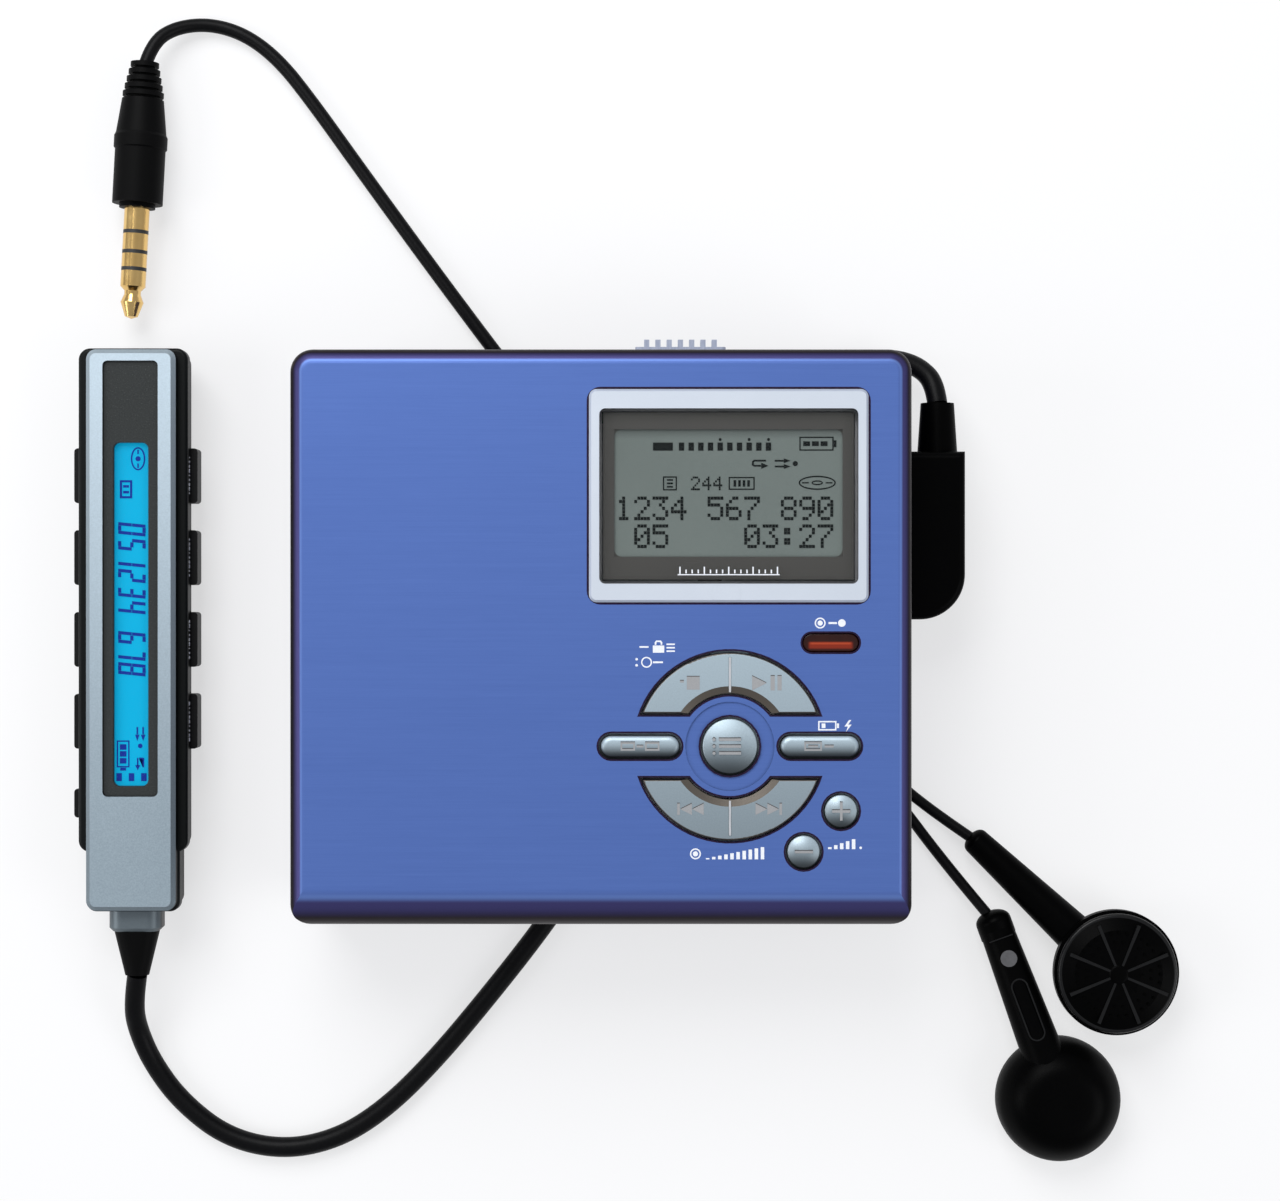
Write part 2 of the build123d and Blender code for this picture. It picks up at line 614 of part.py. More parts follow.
with BuildPart() as mid_frame:
    for s in (-1, 1):
        with BuildSketch(TABLE.offset(rail_low)):
            with Locations((s * (rail_inner + rail_outer) / 2, (boss_front + boss_back) / 2)):
                Rectangle(rail_outer - rail_inner, boss_back - boss_front)
        extrude(amount=rail_high - rail_low)
        # hinge ear: rounded head on a leg
        with BuildSketch(SIDE.offset(s * (ear_inner + ear_outer) / 2)):
            with BuildLine():
                Polyline((hinge_y + leg_front, rail_high - 2), (hinge_y + leg_front, hinge_z - ear_radius),
                         (hinge_y + ear_radius, hinge_z), (ear_back, hinge_z - ear_radius - 1),
                         (ear_back, rail_high - 2), (hinge_y + leg_front, rail_high - 2))
            make_face()
            with Locations((hinge_y, hinge_z)):
                Circle(ear_radius)
                Circle(pin_radius, mode=Mode.SUBTRACT)
        extrude(amount=(ear_outer - ear_inner) / 2, both=True)
    # bosses down to the case floor
    with BuildSketch(TABLE.offset(floor_top)):
        with Locations(bosses):
            Circle(boss_radius)
            Circle(screw_radius, mode=Mode.SUBTRACT)
    extrude(amount=chassis_z - floor_top)
    # battery wall and the shelves for the rubber mounts
    with BuildSketch(TABLE.offset(floor_top)):
        with Locations((0, bay_wall_y)):
            Rectangle(2 * rail_inner + 0.2, 0.7)
    extrude(amount=chassis_z - 0.2 - floor_top)
    with BuildSketch(TABLE.offset(shelf_top - 0.8)):
        for mount_x, mount_y in side_mounts:
            s = 1 if mount_x > 0 else -1
            with Locations((s * (rail_inner + abs(mount_x) - 2.2) / 2, mount_y)):
                Rectangle(rail_inner - abs(mount_x) + 2.3, 4.6)
        with Locations((front_mount_x, (bay_wall_y + front_mount_y + 2.2) / 2)):
            Rectangle(4.6, front_mount_y + 2.2 - bay_wall_y)
    extrude(amount=0.8)
    # doorway of the battery and room for the remote socket
    with BuildSketch(SIDE.offset(rail_inner - 3)):
        with Locations(((door_y0 + door_y1) / 2, (door_z0 + door_z1) / 2)):
            Rectangle(door_y1 - door_y0 - 0.2, door_z1 - door_z0)
        with Locations((remote_socket_y, socket_axis)):
            Rectangle(socket_width + 0.4, socket_height + 0.4)
    extrude(amount=6, mode=Mode.SUBTRACT)
save(mid_frame, "mid_frame")

with BuildPart() as hinge_pins:
    for s in (-1, 1):
        with BuildSketch(SIDE.offset(s * (ear_inner + cheek_outer) / 2)):
            with Locations((hinge_y, hinge_z)):
                Circle(pin_radius)
        extrude(amount=(cheek_outer - ear_inner) / 2, both=True)
save(hinge_pins, "hinge_pins")

with BuildPart() as case_screws:
    with BuildSketch(TABLE.offset(underside)):
        with Locations(bosses):
            Circle(screw_head)
    extrude(amount=0.55)
    with BuildSketch(TABLE.offset(underside + 0.5)):
        with Locations(bosses):
            Circle(screw_radius)
    extrude(amount=5.0)
    with BuildSketch(TABLE.offset(underside)):
        with Locations(bosses):
            Rectangle(1.5, 0.35)
            Rectangle(0.35, 1.5)
    extrude(amount=0.35, mode=Mode.SUBTRACT)
save(case_screws, "case_screws")

# ---- deck: chassis, motor, turntable, pickup, rods, screw and its motor -----------------------
rod_y = 8.5                             # of the guide rods from the spindle
rod_radius = 0.75
rod_z = chassis_z - 2.6
pickup_length, pickup_depth = 12.0, 20.0
pickup_top = lip_top - 0.2
screw_y = disc_y - 12.4
screw_z = rod_z - 0.3
lead_radius = 0.9
motor_radius = 6.5
spindle_radius = 1.0
opening_x0 = lens_x - pickup_length / 2 - 0.6
opening_x1 = lens_x + travel + pickup_length / 2 + 0.3
chassis_half = rail_inner - slip_gap
chassis_front, chassis_back = bay_wall_y + 0.5, 29.2
ear_thick = 0.9

with BuildPart() as deck_chassis:
    with BuildSketch(TABLE.offset(chassis_z)):
        with Locations((0, (chassis_front + chassis_back) / 2)):
            RectangleRounded(2 * chassis_half, chassis_back - chassis_front, 1.5)
        with Locations(((opening_x0 + opening_x1) / 2, disc_y)):
            Rectangle(opening_x1 - opening_x0, pickup_depth + 0.6, mode=Mode.SUBTRACT)
        with Locations((0, disc_y)):
            Circle(spindle_radius + 1.0, mode=Mode.SUBTRACT)
        with Locations((-22, disc_y), (-22, disc_y + 20), (10, disc_y + 22)):
            SlotOverall(14, 6, mode=Mode.SUBTRACT)
        with Locations(*mounts):
            Circle(1.3 + seat_gap, mode=Mode.SUBTRACT)
    extrude(amount=chassis_thick)
    # bent-down ears that hold the rods and the far end of the lead screw
    for ear_x in (opening_x0 - ear_thick / 2, opening_x1 + ear_thick / 2):
        with BuildSketch(SIDE.offset(ear_x - ear_thick / 2)):
            with Locations((disc_y - rod_y, rod_z + 0.6), (disc_y + rod_y, rod_z + 0.6)):
                Rectangle(3.4, 2 * (chassis_z - rod_z - 0.6))
            with Locations((disc_y - rod_y, rod_z), (disc_y + rod_y, rod_z)):
                Circle(rod_radius, mode=Mode.SUBTRACT)
        extrude(amount=ear_thick)
    with BuildSketch(SIDE.offset(opening_x1)):
        with Locations((screw_y, screw_z + 0.6)):
            Rectangle(3.2, 2 * (chassis_z - screw_z - 0.6))
        with Locations((screw_y, screw_z)):
            Circle(lead_radius + pin_clearance, mode=Mode.SUBTRACT)
    extrude(amount=ear_thick)
save(deck_chassis, "deck_chassis")

with BuildPart() as rubber_mounts:
    for low, high, radius in ((shelf_top, chassis_z, 2.1), (chassis_z, chassis_z + chassis_thick, 1.3),
                              (chassis_z + chassis_thick, chassis_z + chassis_thick + 0.4, 1.8)):
        with BuildSketch(TABLE.offset(low)):
            with Locations(*mounts):
                Circle(radius)
        extrude(amount=high - low)
save(rubber_mounts, "rubber_mounts")

with BuildPart() as spindle_motor:
    with BuildSketch(TABLE.offset(chassis_z - 4.5)):
        with Locations((0, disc_y)):
            Circle(motor_radius)
    extrude(amount=4.5)
    fillet(spindle_motor.faces().sort_by(Axis.Z)[0].edges(), 0.6)
    with BuildSketch(TABLE.offset(chassis_z - 1.0)):
        with Locations((0, disc_y)):
            Circle(spindle_radius + pin_clearance)
    extrude(amount=2, mode=Mode.SUBTRACT)
save(spindle_motor, "spindle_motor")

with BuildPart() as turntable:
    with BuildSketch(Plane(origin=(player_x, player_y + disc_y, 0), x_dir=(1, 0, 0), z_dir=(0, -1, 0))):
        with BuildLine():
            Polyline((0, chassis_z - 0.9), (spindle_radius, chassis_z - 0.9),
                     (spindle_radius, lip_top - 0.3), (5.5, lip_top - 0.3), (5.5, lip_top + 0.5),
                     (2.4, lip_top + 0.5), (1.6, lip_top + 1.3), (0, lip_top + 1.3), (0, chassis_z - 0.9))
        make_face()
    revolve(axis=Axis((player_x, player_y + disc_y, 0), (0, 0, 1)))
save(turntable, "turntable")

with BuildPart() as optical_pickup:
    with BuildSketch(TABLE.offset(rod_z - 1.6)):
        with Locations((lens_x, disc_y)):
            RectangleRounded(pickup_length, pickup_depth, 1.2)
    extrude(amount=pickup_top - 1.2 - rod_z + 1.6)
    with BuildSketch(TABLE.offset(pickup_top - 1.2)):
        with Locations((lens_x, disc_y)):
            RectangleRounded(9, 9, 1)
            Circle(2.4, mode=Mode.SUBTRACT)
            Circle(1.8)
    extrude(amount=1.0)
    # arm to the lead screw
    with BuildSketch(TABLE.offset(screw_z - 0.6)):
        with Locations((lens_x, (disc_y - pickup_depth / 2 + screw_y + lead_radius + pin_clearance) / 2)):
            Rectangle(3, disc_y - pickup_depth / 2 - screw_y - lead_radius - pin_clearance)
    extrude(amount=1.2)
    with BuildSketch(SIDE):
        with Locations((disc_y - rod_y, rod_z), (disc_y + rod_y, rod_z)):
            Circle(rod_radius + pin_clearance)
    extrude(amount=width / 2, mode=Mode.SUBTRACT)
save(optical_pickup, "optical_pickup")

with BuildPart() as guide_rods:
    with BuildSketch(SIDE.offset(opening_x0 - ear_thick)):
        with Locations((disc_y - rod_y, rod_z), (disc_y + rod_y, rod_z)):
            Circle(rod_radius)
    extrude(amount=opening_x1 - opening_x0 + 2 * ear_thick)
save(guide_rods, "guide_rods")

sled_x0, sled_x1 = -9.0, 3.0
sled_radius = 2.5
with BuildPart() as sled_motor:
    with BuildSketch(SIDE.offset(sled_x0)):
        with Locations((screw_y, screw_z)):
            Circle(sled_radius)
            Rectangle(2 * sled_radius + 1, 3.0, mode=Mode.INTERSECT)
            Circle(sled_radius - 0.35)
    extrude(amount=sled_x1 - sled_x0)
    with BuildSketch(SIDE.offset(sled_x1 - 1)):
        with Locations((screw_y, screw_z)):
            Circle(lead_radius + pin_clearance)
    extrude(amount=2, mode=Mode.SUBTRACT)
    # clamp up to the chassis
    with BuildSketch(TABLE.offset(screw_z + sled_radius - 0.6)):
        with Locations(((sled_x0 + sled_x1) / 2, screw_y + 0.8)):
            Rectangle(5, 2.4)
    extrude(amount=chassis_z - screw_z - sled_radius + 0.6)
save(sled_motor, "sled_motor")

with BuildPart() as lead_screw:
    with BuildSketch(SIDE.offset(sled_x1 - 0.9)):
        with Locations((screw_y, screw_z)):
            Circle(lead_radius)
    extrude(amount=opening_x1 + ear_thick - sled_x1 + 0.9)
save(lead_screw, "lead_screw")

# ---- electronics and power --------------------------------------------------------------------
main_top = floor_top + 1.3
board_back = back_inner - 1.7
with BuildPart() as main_board:
    with BuildSketch(TABLE.offset(main_top - 0.8)):
        with Locations((0, (bay_wall_y + 0.6 + board_back) / 2)):
            Rectangle(2 * rail_inner - 0.4, board_back - bay_wall_y - 0.6)
        with Locations((-boss_x, boss_back), (boss_x, boss_back)):
            Circle(boss_radius + 0.3, mode=Mode.SUBTRACT)
    extrude(amount=0.8)
    with BuildSketch(TABLE.offset(main_top)):
        with Locations((-20, 6), (-24, -5)):
            Rectangle(10, 7)
        with Locations((-4, 24), (12, 24), (2, 18)):
            Rectangle(7, 4)
    extrude(amount=0.7)
    # solder feet down to the case floor
    with BuildSketch(TABLE.offset(floor_top)):
        with Locations((-30, -8), (30, -8), (-10, 30), (20, 30)):
            Circle(1.0)
    extrude(amount=main_top - 0.8 - floor_top)
save(main_board, "main_board")

battery_y = (door_y0 + door_y1) / 2
battery_x = inner_half - 6.2 - battery_length / 2
with BuildPart() as battery:
    with BuildSketch(SIDE.offset(battery_x - battery_length / 2)):
        with Locations((battery_y, floor_top + 0.1 + battery_thick / 2)):
            RectangleRounded(battery_width, battery_thick, 1.2)
    extrude(amount=battery_length)
    with BuildSketch(SIDE.offset(battery_x + battery_length / 2)):
        with Locations((battery_y, floor_top + 0.1 + battery_thick / 2)):
            RectangleRounded(8, 3, 0.6)
    extrude(amount=0.5)
save(battery, "battery")

with BuildPart() as battery_contacts:
    # sprung leaf at the closed end, on a block against the left rail
    left_end = battery_x - battery_length / 2
    with BuildSketch(TABLE.offset(floor_top)):
        with Locations(((left_end - 0.6 - rail_inner) / 2, battery_y)):
            Rectangle(left_end - 0.6 + rail_inner, 8)
    extrude(amount=battery_thick)
    with BuildSketch(FRONT.offset(-battery_y - 1.5)):
        with BuildLine():
            Polyline((left_end - 0.6, floor_top + 1.0), (left_end - 0.1, floor_top + 3.0),
                     (left_end - 0.6, floor_top + 5.0), (left_end - 0.9, floor_top + 5.0),
                     (left_end - 0.9, floor_top + 1.0), (left_end - 0.6, floor_top + 1.0))
        make_face()
    extrude(amount=3.0)
save(battery_contacts, "battery_contacts")

# battery door: plate in the doorway, turning about its round rear end, with a thumb pad outside
with BuildPart() as battery_door:
    with BuildSketch(TABLE.offset(door_z0)):
        with Locations((door_pivot_x, (door_y0 + door_pivot_y) / 2)):
            Rectangle(wall, door_pivot_y - door_y0)
        with Locations((door_pivot_x, door_pivot_y)):
            Circle(wall / 2)
    extrude(amount=door_z1 - door_z0)
    with BuildSketch(TABLE.offset(door_z0 - door_pin_low)):
        with Locations((door_pivot_x, door_pivot_y)):
            Circle(door_pin_radius)
    extrude(amount=door_z1 - door_z0 + door_pin_low + door_pin_high)
    with BuildSketch(SIDE.offset(width / 2)):
        with Locations((door_y0 + 7.8, (door_z0 + door_z1) / 2)):
            RectangleRounded(11.4, door_z1 - door_z0 - 1.6, 1.2)
            for i in range(5):
                with Locations((-2.6 + 1.3 * i, 0)):
                    Rectangle(0.5, door_z1 - door_z0 - 3.2, mode=Mode.SUBTRACT)
    extrude(amount=door_pad)
    # spring contact inside, against the battery's cap
    with BuildSketch(SIDE.offset(battery_x + battery_length / 2 + 0.5 + 0.1)):
        with Locations((battery_y, floor_top + 0.1 + battery_thick / 2)):
            Circle(1.6)
    extrude(amount=width / 2 - wall - battery_x - battery_length / 2 - 0.6)
save(battery_door, "battery_door")

# ---- open slider and latch plate ---------------------------------------------------------------
latch_y0, latch_y1 = back_inner - 1.0, back_inner - 0.3
finger_end = hook_x - hook_thick - slip_gap
with BuildPart() as open_slider:
    with BuildSketch(FRONT.offset(-case_back - 0.05)):
        with Locations((slider_x, slot_z)):
            RectangleRounded(slider_length, slider_height, 0.5)
    extrude(amount=-slider_proud + 0.05)
    with BuildSketch(FRONT.offset(-case_back - slider_proud)):
        with Locations((slider_x, slot_z)):
            with GridLocations(rib_pitch, 1, rib_count, 1):
                Rectangle(0.7, slider_height - 0.4)
    extrude(amount=-rib_proud)
    # stem through the wall to the latch plate
    with BuildSketch(FRONT.offset(-latch_y1)):
        with Locations((slider_x, slot_z)):
            Rectangle(slider_stem, 1.0)
    extrude(amount=-(case_back + 0.05 - latch_y1))
save(open_slider, "open_slider")

with BuildPart() as latch_plate:
    with BuildSketch(FRONT.offset(-latch_y0)):
        with Locations(((slider_x - 6 + finger_end) / 2, slot_z)):
            Rectangle(finger_end - slider_x + 6, 1.8)
        with Locations((finger_end - 1.2, slot_z + 0.6)):
            Rectangle(2.4, 3.0)
    extrude(amount=-(latch_y1 - latch_y0))
save(latch_plate, "latch_plate")

# ---- sockets -----------------------------------------------------------------------------------
with BuildPart() as remote_socket:
    with BuildSketch(SIDE.offset(inner_half - 9.0)):
        with Locations((remote_socket_y, socket_axis)):
            Rectangle(socket_width, socket_height)
    extrude(amount=9.0)
    with BuildSketch(SIDE.offset(inner_half - 7.0)):
        with Locations((remote_socket_y, socket_axis)):
            Rectangle(socket_width - 3, socket_height - 2.0)
    extrude(amount=7.0, mode=Mode.SUBTRACT)
    with BuildSketch(TABLE.offset(main_top)):
        with Locations((inner_half - 6.5, remote_socket_y)):
            Rectangle(3, 6)
    extrude(amount=socket_axis - socket_height / 2 - main_top)
save(remote_socket, "remote_socket")


socket_setback = 0.3            # of the socket blocks, clear of the rounded inside corner


def back_socket(name, x, radius, length, centre_pin):
    """A round socket in the back wall: block inside, sleeve through the wall, blind bore."""
    with BuildPart() as socket:
        with BuildSketch(FRONT.offset(-back_inner + length)):
            with Locations((x, socket_axis)):
                RectangleRounded(6.6, 5.0, 0.4)
        extrude(amount=-length + socket_setback)
        with BuildSketch(FRONT.offset(-back_inner + socket_setback)):
            with Locations((x, socket_axis)):
                Circle(socket_sleeve)
        extrude(amount=-wall - socket_setback + seat_gap)
        with BuildSketch(FRONT.offset(-case_back - 1)):
            with Locations((x, socket_axis)):
                Circle(radius)
        extrude(amount=length + wall, mode=Mode.SUBTRACT)
        if centre_pin:
            with BuildSketch(FRONT.offset(-back_inner + length)):
                with Locations((x, socket_axis)):
                    Circle(centre_pin)
            extrude(amount=-length)
        with BuildSketch(TABLE.offset(main_top)):
            with Locations((x, back_inner - length / 2)):
                Rectangle(3, 5)
        extrude(amount=socket_axis - 2.5 - main_top)
    save(socket, name)


back_socket("line_in_jack", jack_x, jack_bore, 12.0, 0)
back_socket("power_jack", power_x, power_bore, 10.0, 0.6)

# ============================================================================================
# The remote control: silver top shell, black back shell, clip, keys, window and display
# ============================================================================================
shell_split = 7.4                       # between back shell and top shell
back_half = remote_half - 0.5
remote_cord_end = -remote_length / 2
window_y, window_length, window_across = 7.05, 59.8, 7.6
glass_thick = 0.8
lit_y, lit_length, lit_across = 2.15, 47.2, 4.8
key_rows = [remote_first_key - i * remote_key_pitch for i in range(4)]
hold_y = remote_first_key - 4 * remote_key_pitch
hold_length, hold_travel = 4.0, 2.0
key_z = shell_split - 1.75
wing_y = remote_wing_end / 2

with BuildPart() as remote_top_shell:
    with BuildSketch(REMOTE.offset(shell_split)):
        with Locations((0, wing_y)):
            RectangleRounded(remote_width, remote_length - remote_wing_end, 1.6)
        RectangleRounded(remote_plate_width, remote_length, 1.4)
    extrude(amount=remote_wing_top - shell_split)
    fillet(remote_top_shell.faces().sort_by(Axis.Z)[-1].edges(), 0.5)
    with BuildSketch(REMOTE.offset(remote_wing_top - 0.6)):
        RectangleRounded(remote_plate_width - 0.6, remote_length - 0.6, 1.4)
    extrude(amount=remote_top - remote_wing_top + 0.6)
    chamfer(remote_top_shell.faces().sort_by(Axis.Z)[-1].edges(), 0.6)
    # recess of the window, and the hollow below it
    with BuildSketch(REMOTE.offset(remote_top - glass_thick - 0.5)):
        with Locations((0, window_y)):
            RectangleRounded(window_across, window_length, 0.7)
    extrude(amount=3, mode=Mode.SUBTRACT)
    with BuildSketch(REMOTE.offset(shell_split)):
        with Locations((0, window_y)):
            Rectangle(window_across + 1.6, window_length + 1.0)
    extrude(amount=remote_top - glass_thick - 0.5 - 0.7 - shell_split, mode=Mode.SUBTRACT)
    with BuildSketch(REMOTE.offset(shell_split)):
        with Locations((0, lit_y)):
            Rectangle(lit_across + 1.2, lit_length + 1.2)
    extrude(amount=4, mode=Mode.SUBTRACT)
save(remote_top_shell, "remote_top_shell")

with BuildPart() as remote_window:
    with BuildSketch(REMOTE.offset(remote_top - glass_thick - 0.5)):
        with Locations((0, window_y)):
            RectangleRounded(window_across - 2 * seat_gap, window_length - 2 * seat_gap, 0.65)
    extrude(amount=glass_thick)
save(remote_window, "remote_window")

with BuildPart() as remote_display:
    with BuildSketch(REMOTE.offset(remote_top - glass_thick - 0.5 - 0.05)):
        with Locations((0, lit_y)):
            Rectangle(lit_across, lit_length)
    extrude(amount=-1.2)
    with BuildSketch(REMOTE.offset(remote_top - glass_thick - 0.5 - 1.25)):
        with Locations((0, lit_y)):
            Rectangle(lit_across + 3.0, lit_length + 3.0)
    extrude(amount=-0.8)
    with BuildSketch(REMOTE.offset(shell_split - 0.1)):
        with Locations((0, lit_y + 20), (0, lit_y - 20)):
            Rectangle(3, 2)
    extrude(amount=remote_top - glass_thick - 0.5 - 2.05 - shell_split + 0.1)
save(remote_display, "remote_display")

with BuildPart() as remote_back_shell:
    with BuildSketch(REMOTE.offset(remote_bottom)):
        with Locations((0, wing_y)):
            RectangleRounded(2 * back_half, remote_length - remote_wing_end - 0.6, 1.6)
        RectangleRounded(remote_plate_width - 0.8, remote_length - 0.8, 1.4)
    extrude(amount=shell_split - seat_gap - remote_bottom)
    fillet(remote_back_shell.faces().sort_by(Axis.Z)[0].edges(), 0.9)
    with BuildSketch(REMOTE.offset(remote_bottom + remote_shell)):
        RectangleRounded(remote_plate_width - 2 * remote_shell - 0.8, remote_length - 3.2, 0.8)
    extrude(amount=10, mode=Mode.SUBTRACT)
    # wells for the side keys
    with BuildSketch(REMOTE.offset(key_z - remote_key_height / 2 - slip_gap)):
        for y in key_rows:
            with Locations((-remote_half, y), (remote_half, y)):
                Rectangle(remote_width, remote_key_length + 2 * slip_gap)
        with Locations((-remote_half, hold_y - hold_travel / 2)):
            Rectangle(remote_width, hold_length + hold_travel + 2 * slip_gap)
    extrude(amount=remote_key_height + 2 * slip_gap, mode=Mode.SUBTRACT)
    # board inside, carried on two ribs
    with BuildSketch(REMOTE.offset(remote_bottom + remote_shell)):
        with Locations((0, 20), (0, -20)):
            Rectangle(3, 2)
    extrude(amount=shell_split - 0.15 - remote_bottom - remote_shell)
    # hinge block of the clip
    with BuildSketch(REMOTE.offset(remote_bottom - 1.0)):
        with Locations((0, 27)):
            Rectangle(3.6, 3.2)
    extrude(amount=1.1)
    with BuildSketch(REMOTE_SIDE):
        with Locations((27, remote_bottom - 0.45)):
            Circle(0.4 + pin_clearance)
    extrude(amount=5, both=True, mode=Mode.SUBTRACT)
save(remote_back_shell, "remote_back_shell")


def key_strip(name, side, rows, length):
    """Side keys of the remote on one moulded strip; side is -1 left, +1 right."""
    inner_face = remote_plate_width / 2 - remote_shell - 0.4 - 0.9
    with BuildPart() as strip:
        with BuildSketch(REMOTE.offset(key_z - remote_key_height / 2)):
            for y in rows:
                with Locations((side * (inner_face + remote_half + remote_key_proud) / 2, y)):
                    RectangleRounded(remote_half + remote_key_proud - inner_face, length, 0.5)
        extrude(amount=remote_key_height)
        if len(rows) > 1:
            with BuildSketch(REMOTE.offset(key_z - remote_key_height / 2)):
                with Locations((side * (inner_face + 0.3), (rows[0] + rows[-1]) / 2)):
                    Rectangle(0.6, rows[0] - rows[-1])
            extrude(amount=remote_key_height)
    save(strip, name)


key_strip("remote_right_keys", 1, key_rows, remote_key_length)
key_strip("remote_left_keys", -1, key_rows, remote_key_length)
key_strip("remote_hold_slider", -1, [hold_y], hold_length)

with BuildPart() as remote_clip:
    # long leaf with an upturned tip, finger end behind the pivot, ears and pin
    with BuildSketch(REMOTE_SIDE):
        with BuildLine():
            Polyline((34, 0), (34, clip_thick), (-28, clip_thick), (-31, remote_bottom - 0.15),
                     (-33, remote_bottom - 0.15), (-29.5, 0), (34, 0))
        make_face()
    extrude(amount=4.2, both=True)
    with BuildSketch(REMOTE_SIDE.offset(2.1)):
        with Locations((27, remote_bottom - 1.0)):
            Rectangle(2.4, 1.6)
    extrude(amount=0.9)
    with BuildSketch(REMOTE_SIDE.offset(-2.1)):
        with Locations((27, remote_bottom - 1.0)):
            Rectangle(2.4, 1.6)
    extrude(amount=-0.9)
    with BuildSketch(REMOTE_SIDE):
        with Locations((27, remote_bottom - 0.45)):
            Circle(0.4)
    extrude(amount=2.5, both=True)
save(remote_clip, "remote_clip")

# ============================================================================================
# Cords and what is on them.  Points are from the middle of the recorder.
# ============================================================================================
gland_length, gland_width = 2.9, 7.3
relief_length = 6.2
gland_z = 6.2

with BuildPart() as remote_gland:
    with BuildSketch(Plane(origin=(remote_x, remote_y + remote_cord_end, gland_z), x_dir=(1, 0, 0),
                           z_dir=(0, -1, 0))):
        RectangleRounded(gland_width, 5.4, 1.8)
    extrude(amount=gland_length)
    chamfer(remote_gland.faces().sort_by(Axis.Y)[0].edges(), 0.5)
save(remote_gland, "remote_gland")

gland_end = remote_cord_end - gland_length
with BuildPart() as remote_strain_relief:
    with BuildSketch(Plane(origin=(remote_x, remote_y + gland_end, gland_z), x_dir=(1, 0, 0),
                           z_dir=(0, -1, 0))):
        RectangleRounded(6.2, 4.6, 2.0)
    with BuildSketch(Plane(origin=(remote_x, remote_y + gland_end - relief_length, gland_z),
                           z_dir=(0, -1, 0))):
        Circle(remote_cord_diameter / 2 + 0.25)
    loft()
save(remote_strain_relief, "remote_strain_relief")


def cord(name, points, diameter):
    """A cord's tube: straight runs joined by arcs as large as the runs allow."""
    places = [Vector(x + player_x, y + player_y, z) for x, y, z in points]
    runs = [(b - a) for a, b in zip(places, places[1:])]
    radii = []
    for before, after in zip(runs, runs[1:]):
        turn = radians(before.get_angle(after))
        radii.append(0.45 * min(before.length, after.length) / tan(turn / 2))
    with BuildPart() as tube:
        with BuildLine() as route:
            FilletPolyline(*places, radius=radii)
        with BuildSketch(Plane(origin=places[0], z_dir=runs[0])):
            Circle(diameter / 2)
        sweep()
    length = route.wires()[0].length if route.wires() else sum(e.length for e in route.edges())
    section = pi * diameter ** 2 / 4
    print(f"{name}: length {length:.1f}, volume ratio {tube.part.volume / (section * length):.4f}, "
          f"runs {min(r.length for r in runs):.1f} to {max(r.length for r in runs):.1f}, "
          f"radii {', '.join(f'{r:.0f}' for r in radii)}")
    save(tube, name)


# the remote's plug, held in the right wall: housing, strain relief and the tongue in the socket
plug_x0, plug_x1 = width / 2 + 0.05, width / 2 + 8.65
plug_y0, plug_y1 = 2.36, 25.36
plug_z = socket_axis
plug_height = 9.0
relief_x = (plug_x0 + plug_x1) / 2 + 0.9
plug_relief_end = plug_y1 + 6.85
with BuildPart() as remote_plug:
    with BuildSketch(TABLE.offset(plug_z - plug_height / 2)):
        with BuildLine():
            Polyline((plug_x0, plug_y1), (plug_x0, plug_y0), (plug_x0 + 2.4, plug_y0))
            TangentArc((plug_x0 + 2.4, plug_y0), (plug_x1, plug_y0 + 6.2), tangent=(1, 0))
            Polyline((plug_x1, plug_y0 + 6.2), (plug_x1, plug_y1), (plug_x0, plug_y1))
        make_face()
    extrude(amount=plug_height)
    fillet(remote_plug.faces().sort_by(Axis.Z)[-1].edges().filter_by(
        lambda e: e.center().X > player_x + plug_x0 + 0.1), 1.0)
    fillet(remote_plug.faces().sort_by(Axis.Z)[0].edges().filter_by(
        lambda e: e.center().X > player_x + plug_x0 + 0.1), 1.0)
    with BuildSketch(SIDE.offset(inner_half - 6.5)):
        with Locations((remote_socket_y, socket_axis)):
            RectangleRounded(socket_width - 3.4, socket_height - 3.0, 0.5)
    extrude(amount=plug_x0 - inner_half + 6.6)
    with BuildSketch(FRONT.offset(-plug_y1)):
        with Locations((relief_x, plug_z)):
            Circle(2.75)
    with BuildSketch(FRONT.offset(-plug_relief_end)):
        with Locations((relief_x, plug_z)):
            Circle(2.3)
    loft()
save(remote_plug, "remote_plug")

cord_z = remote_cord_diameter / 2
phone_z = phone_cord_diameter / 2
branch_z = branch_diameter / 2


def laid(points):
    """Cord places, given from the middle of the layout, as places from the recorder's middle."""
    return [(x + layout_x, y + layout_y, z) for x, y, z in points]


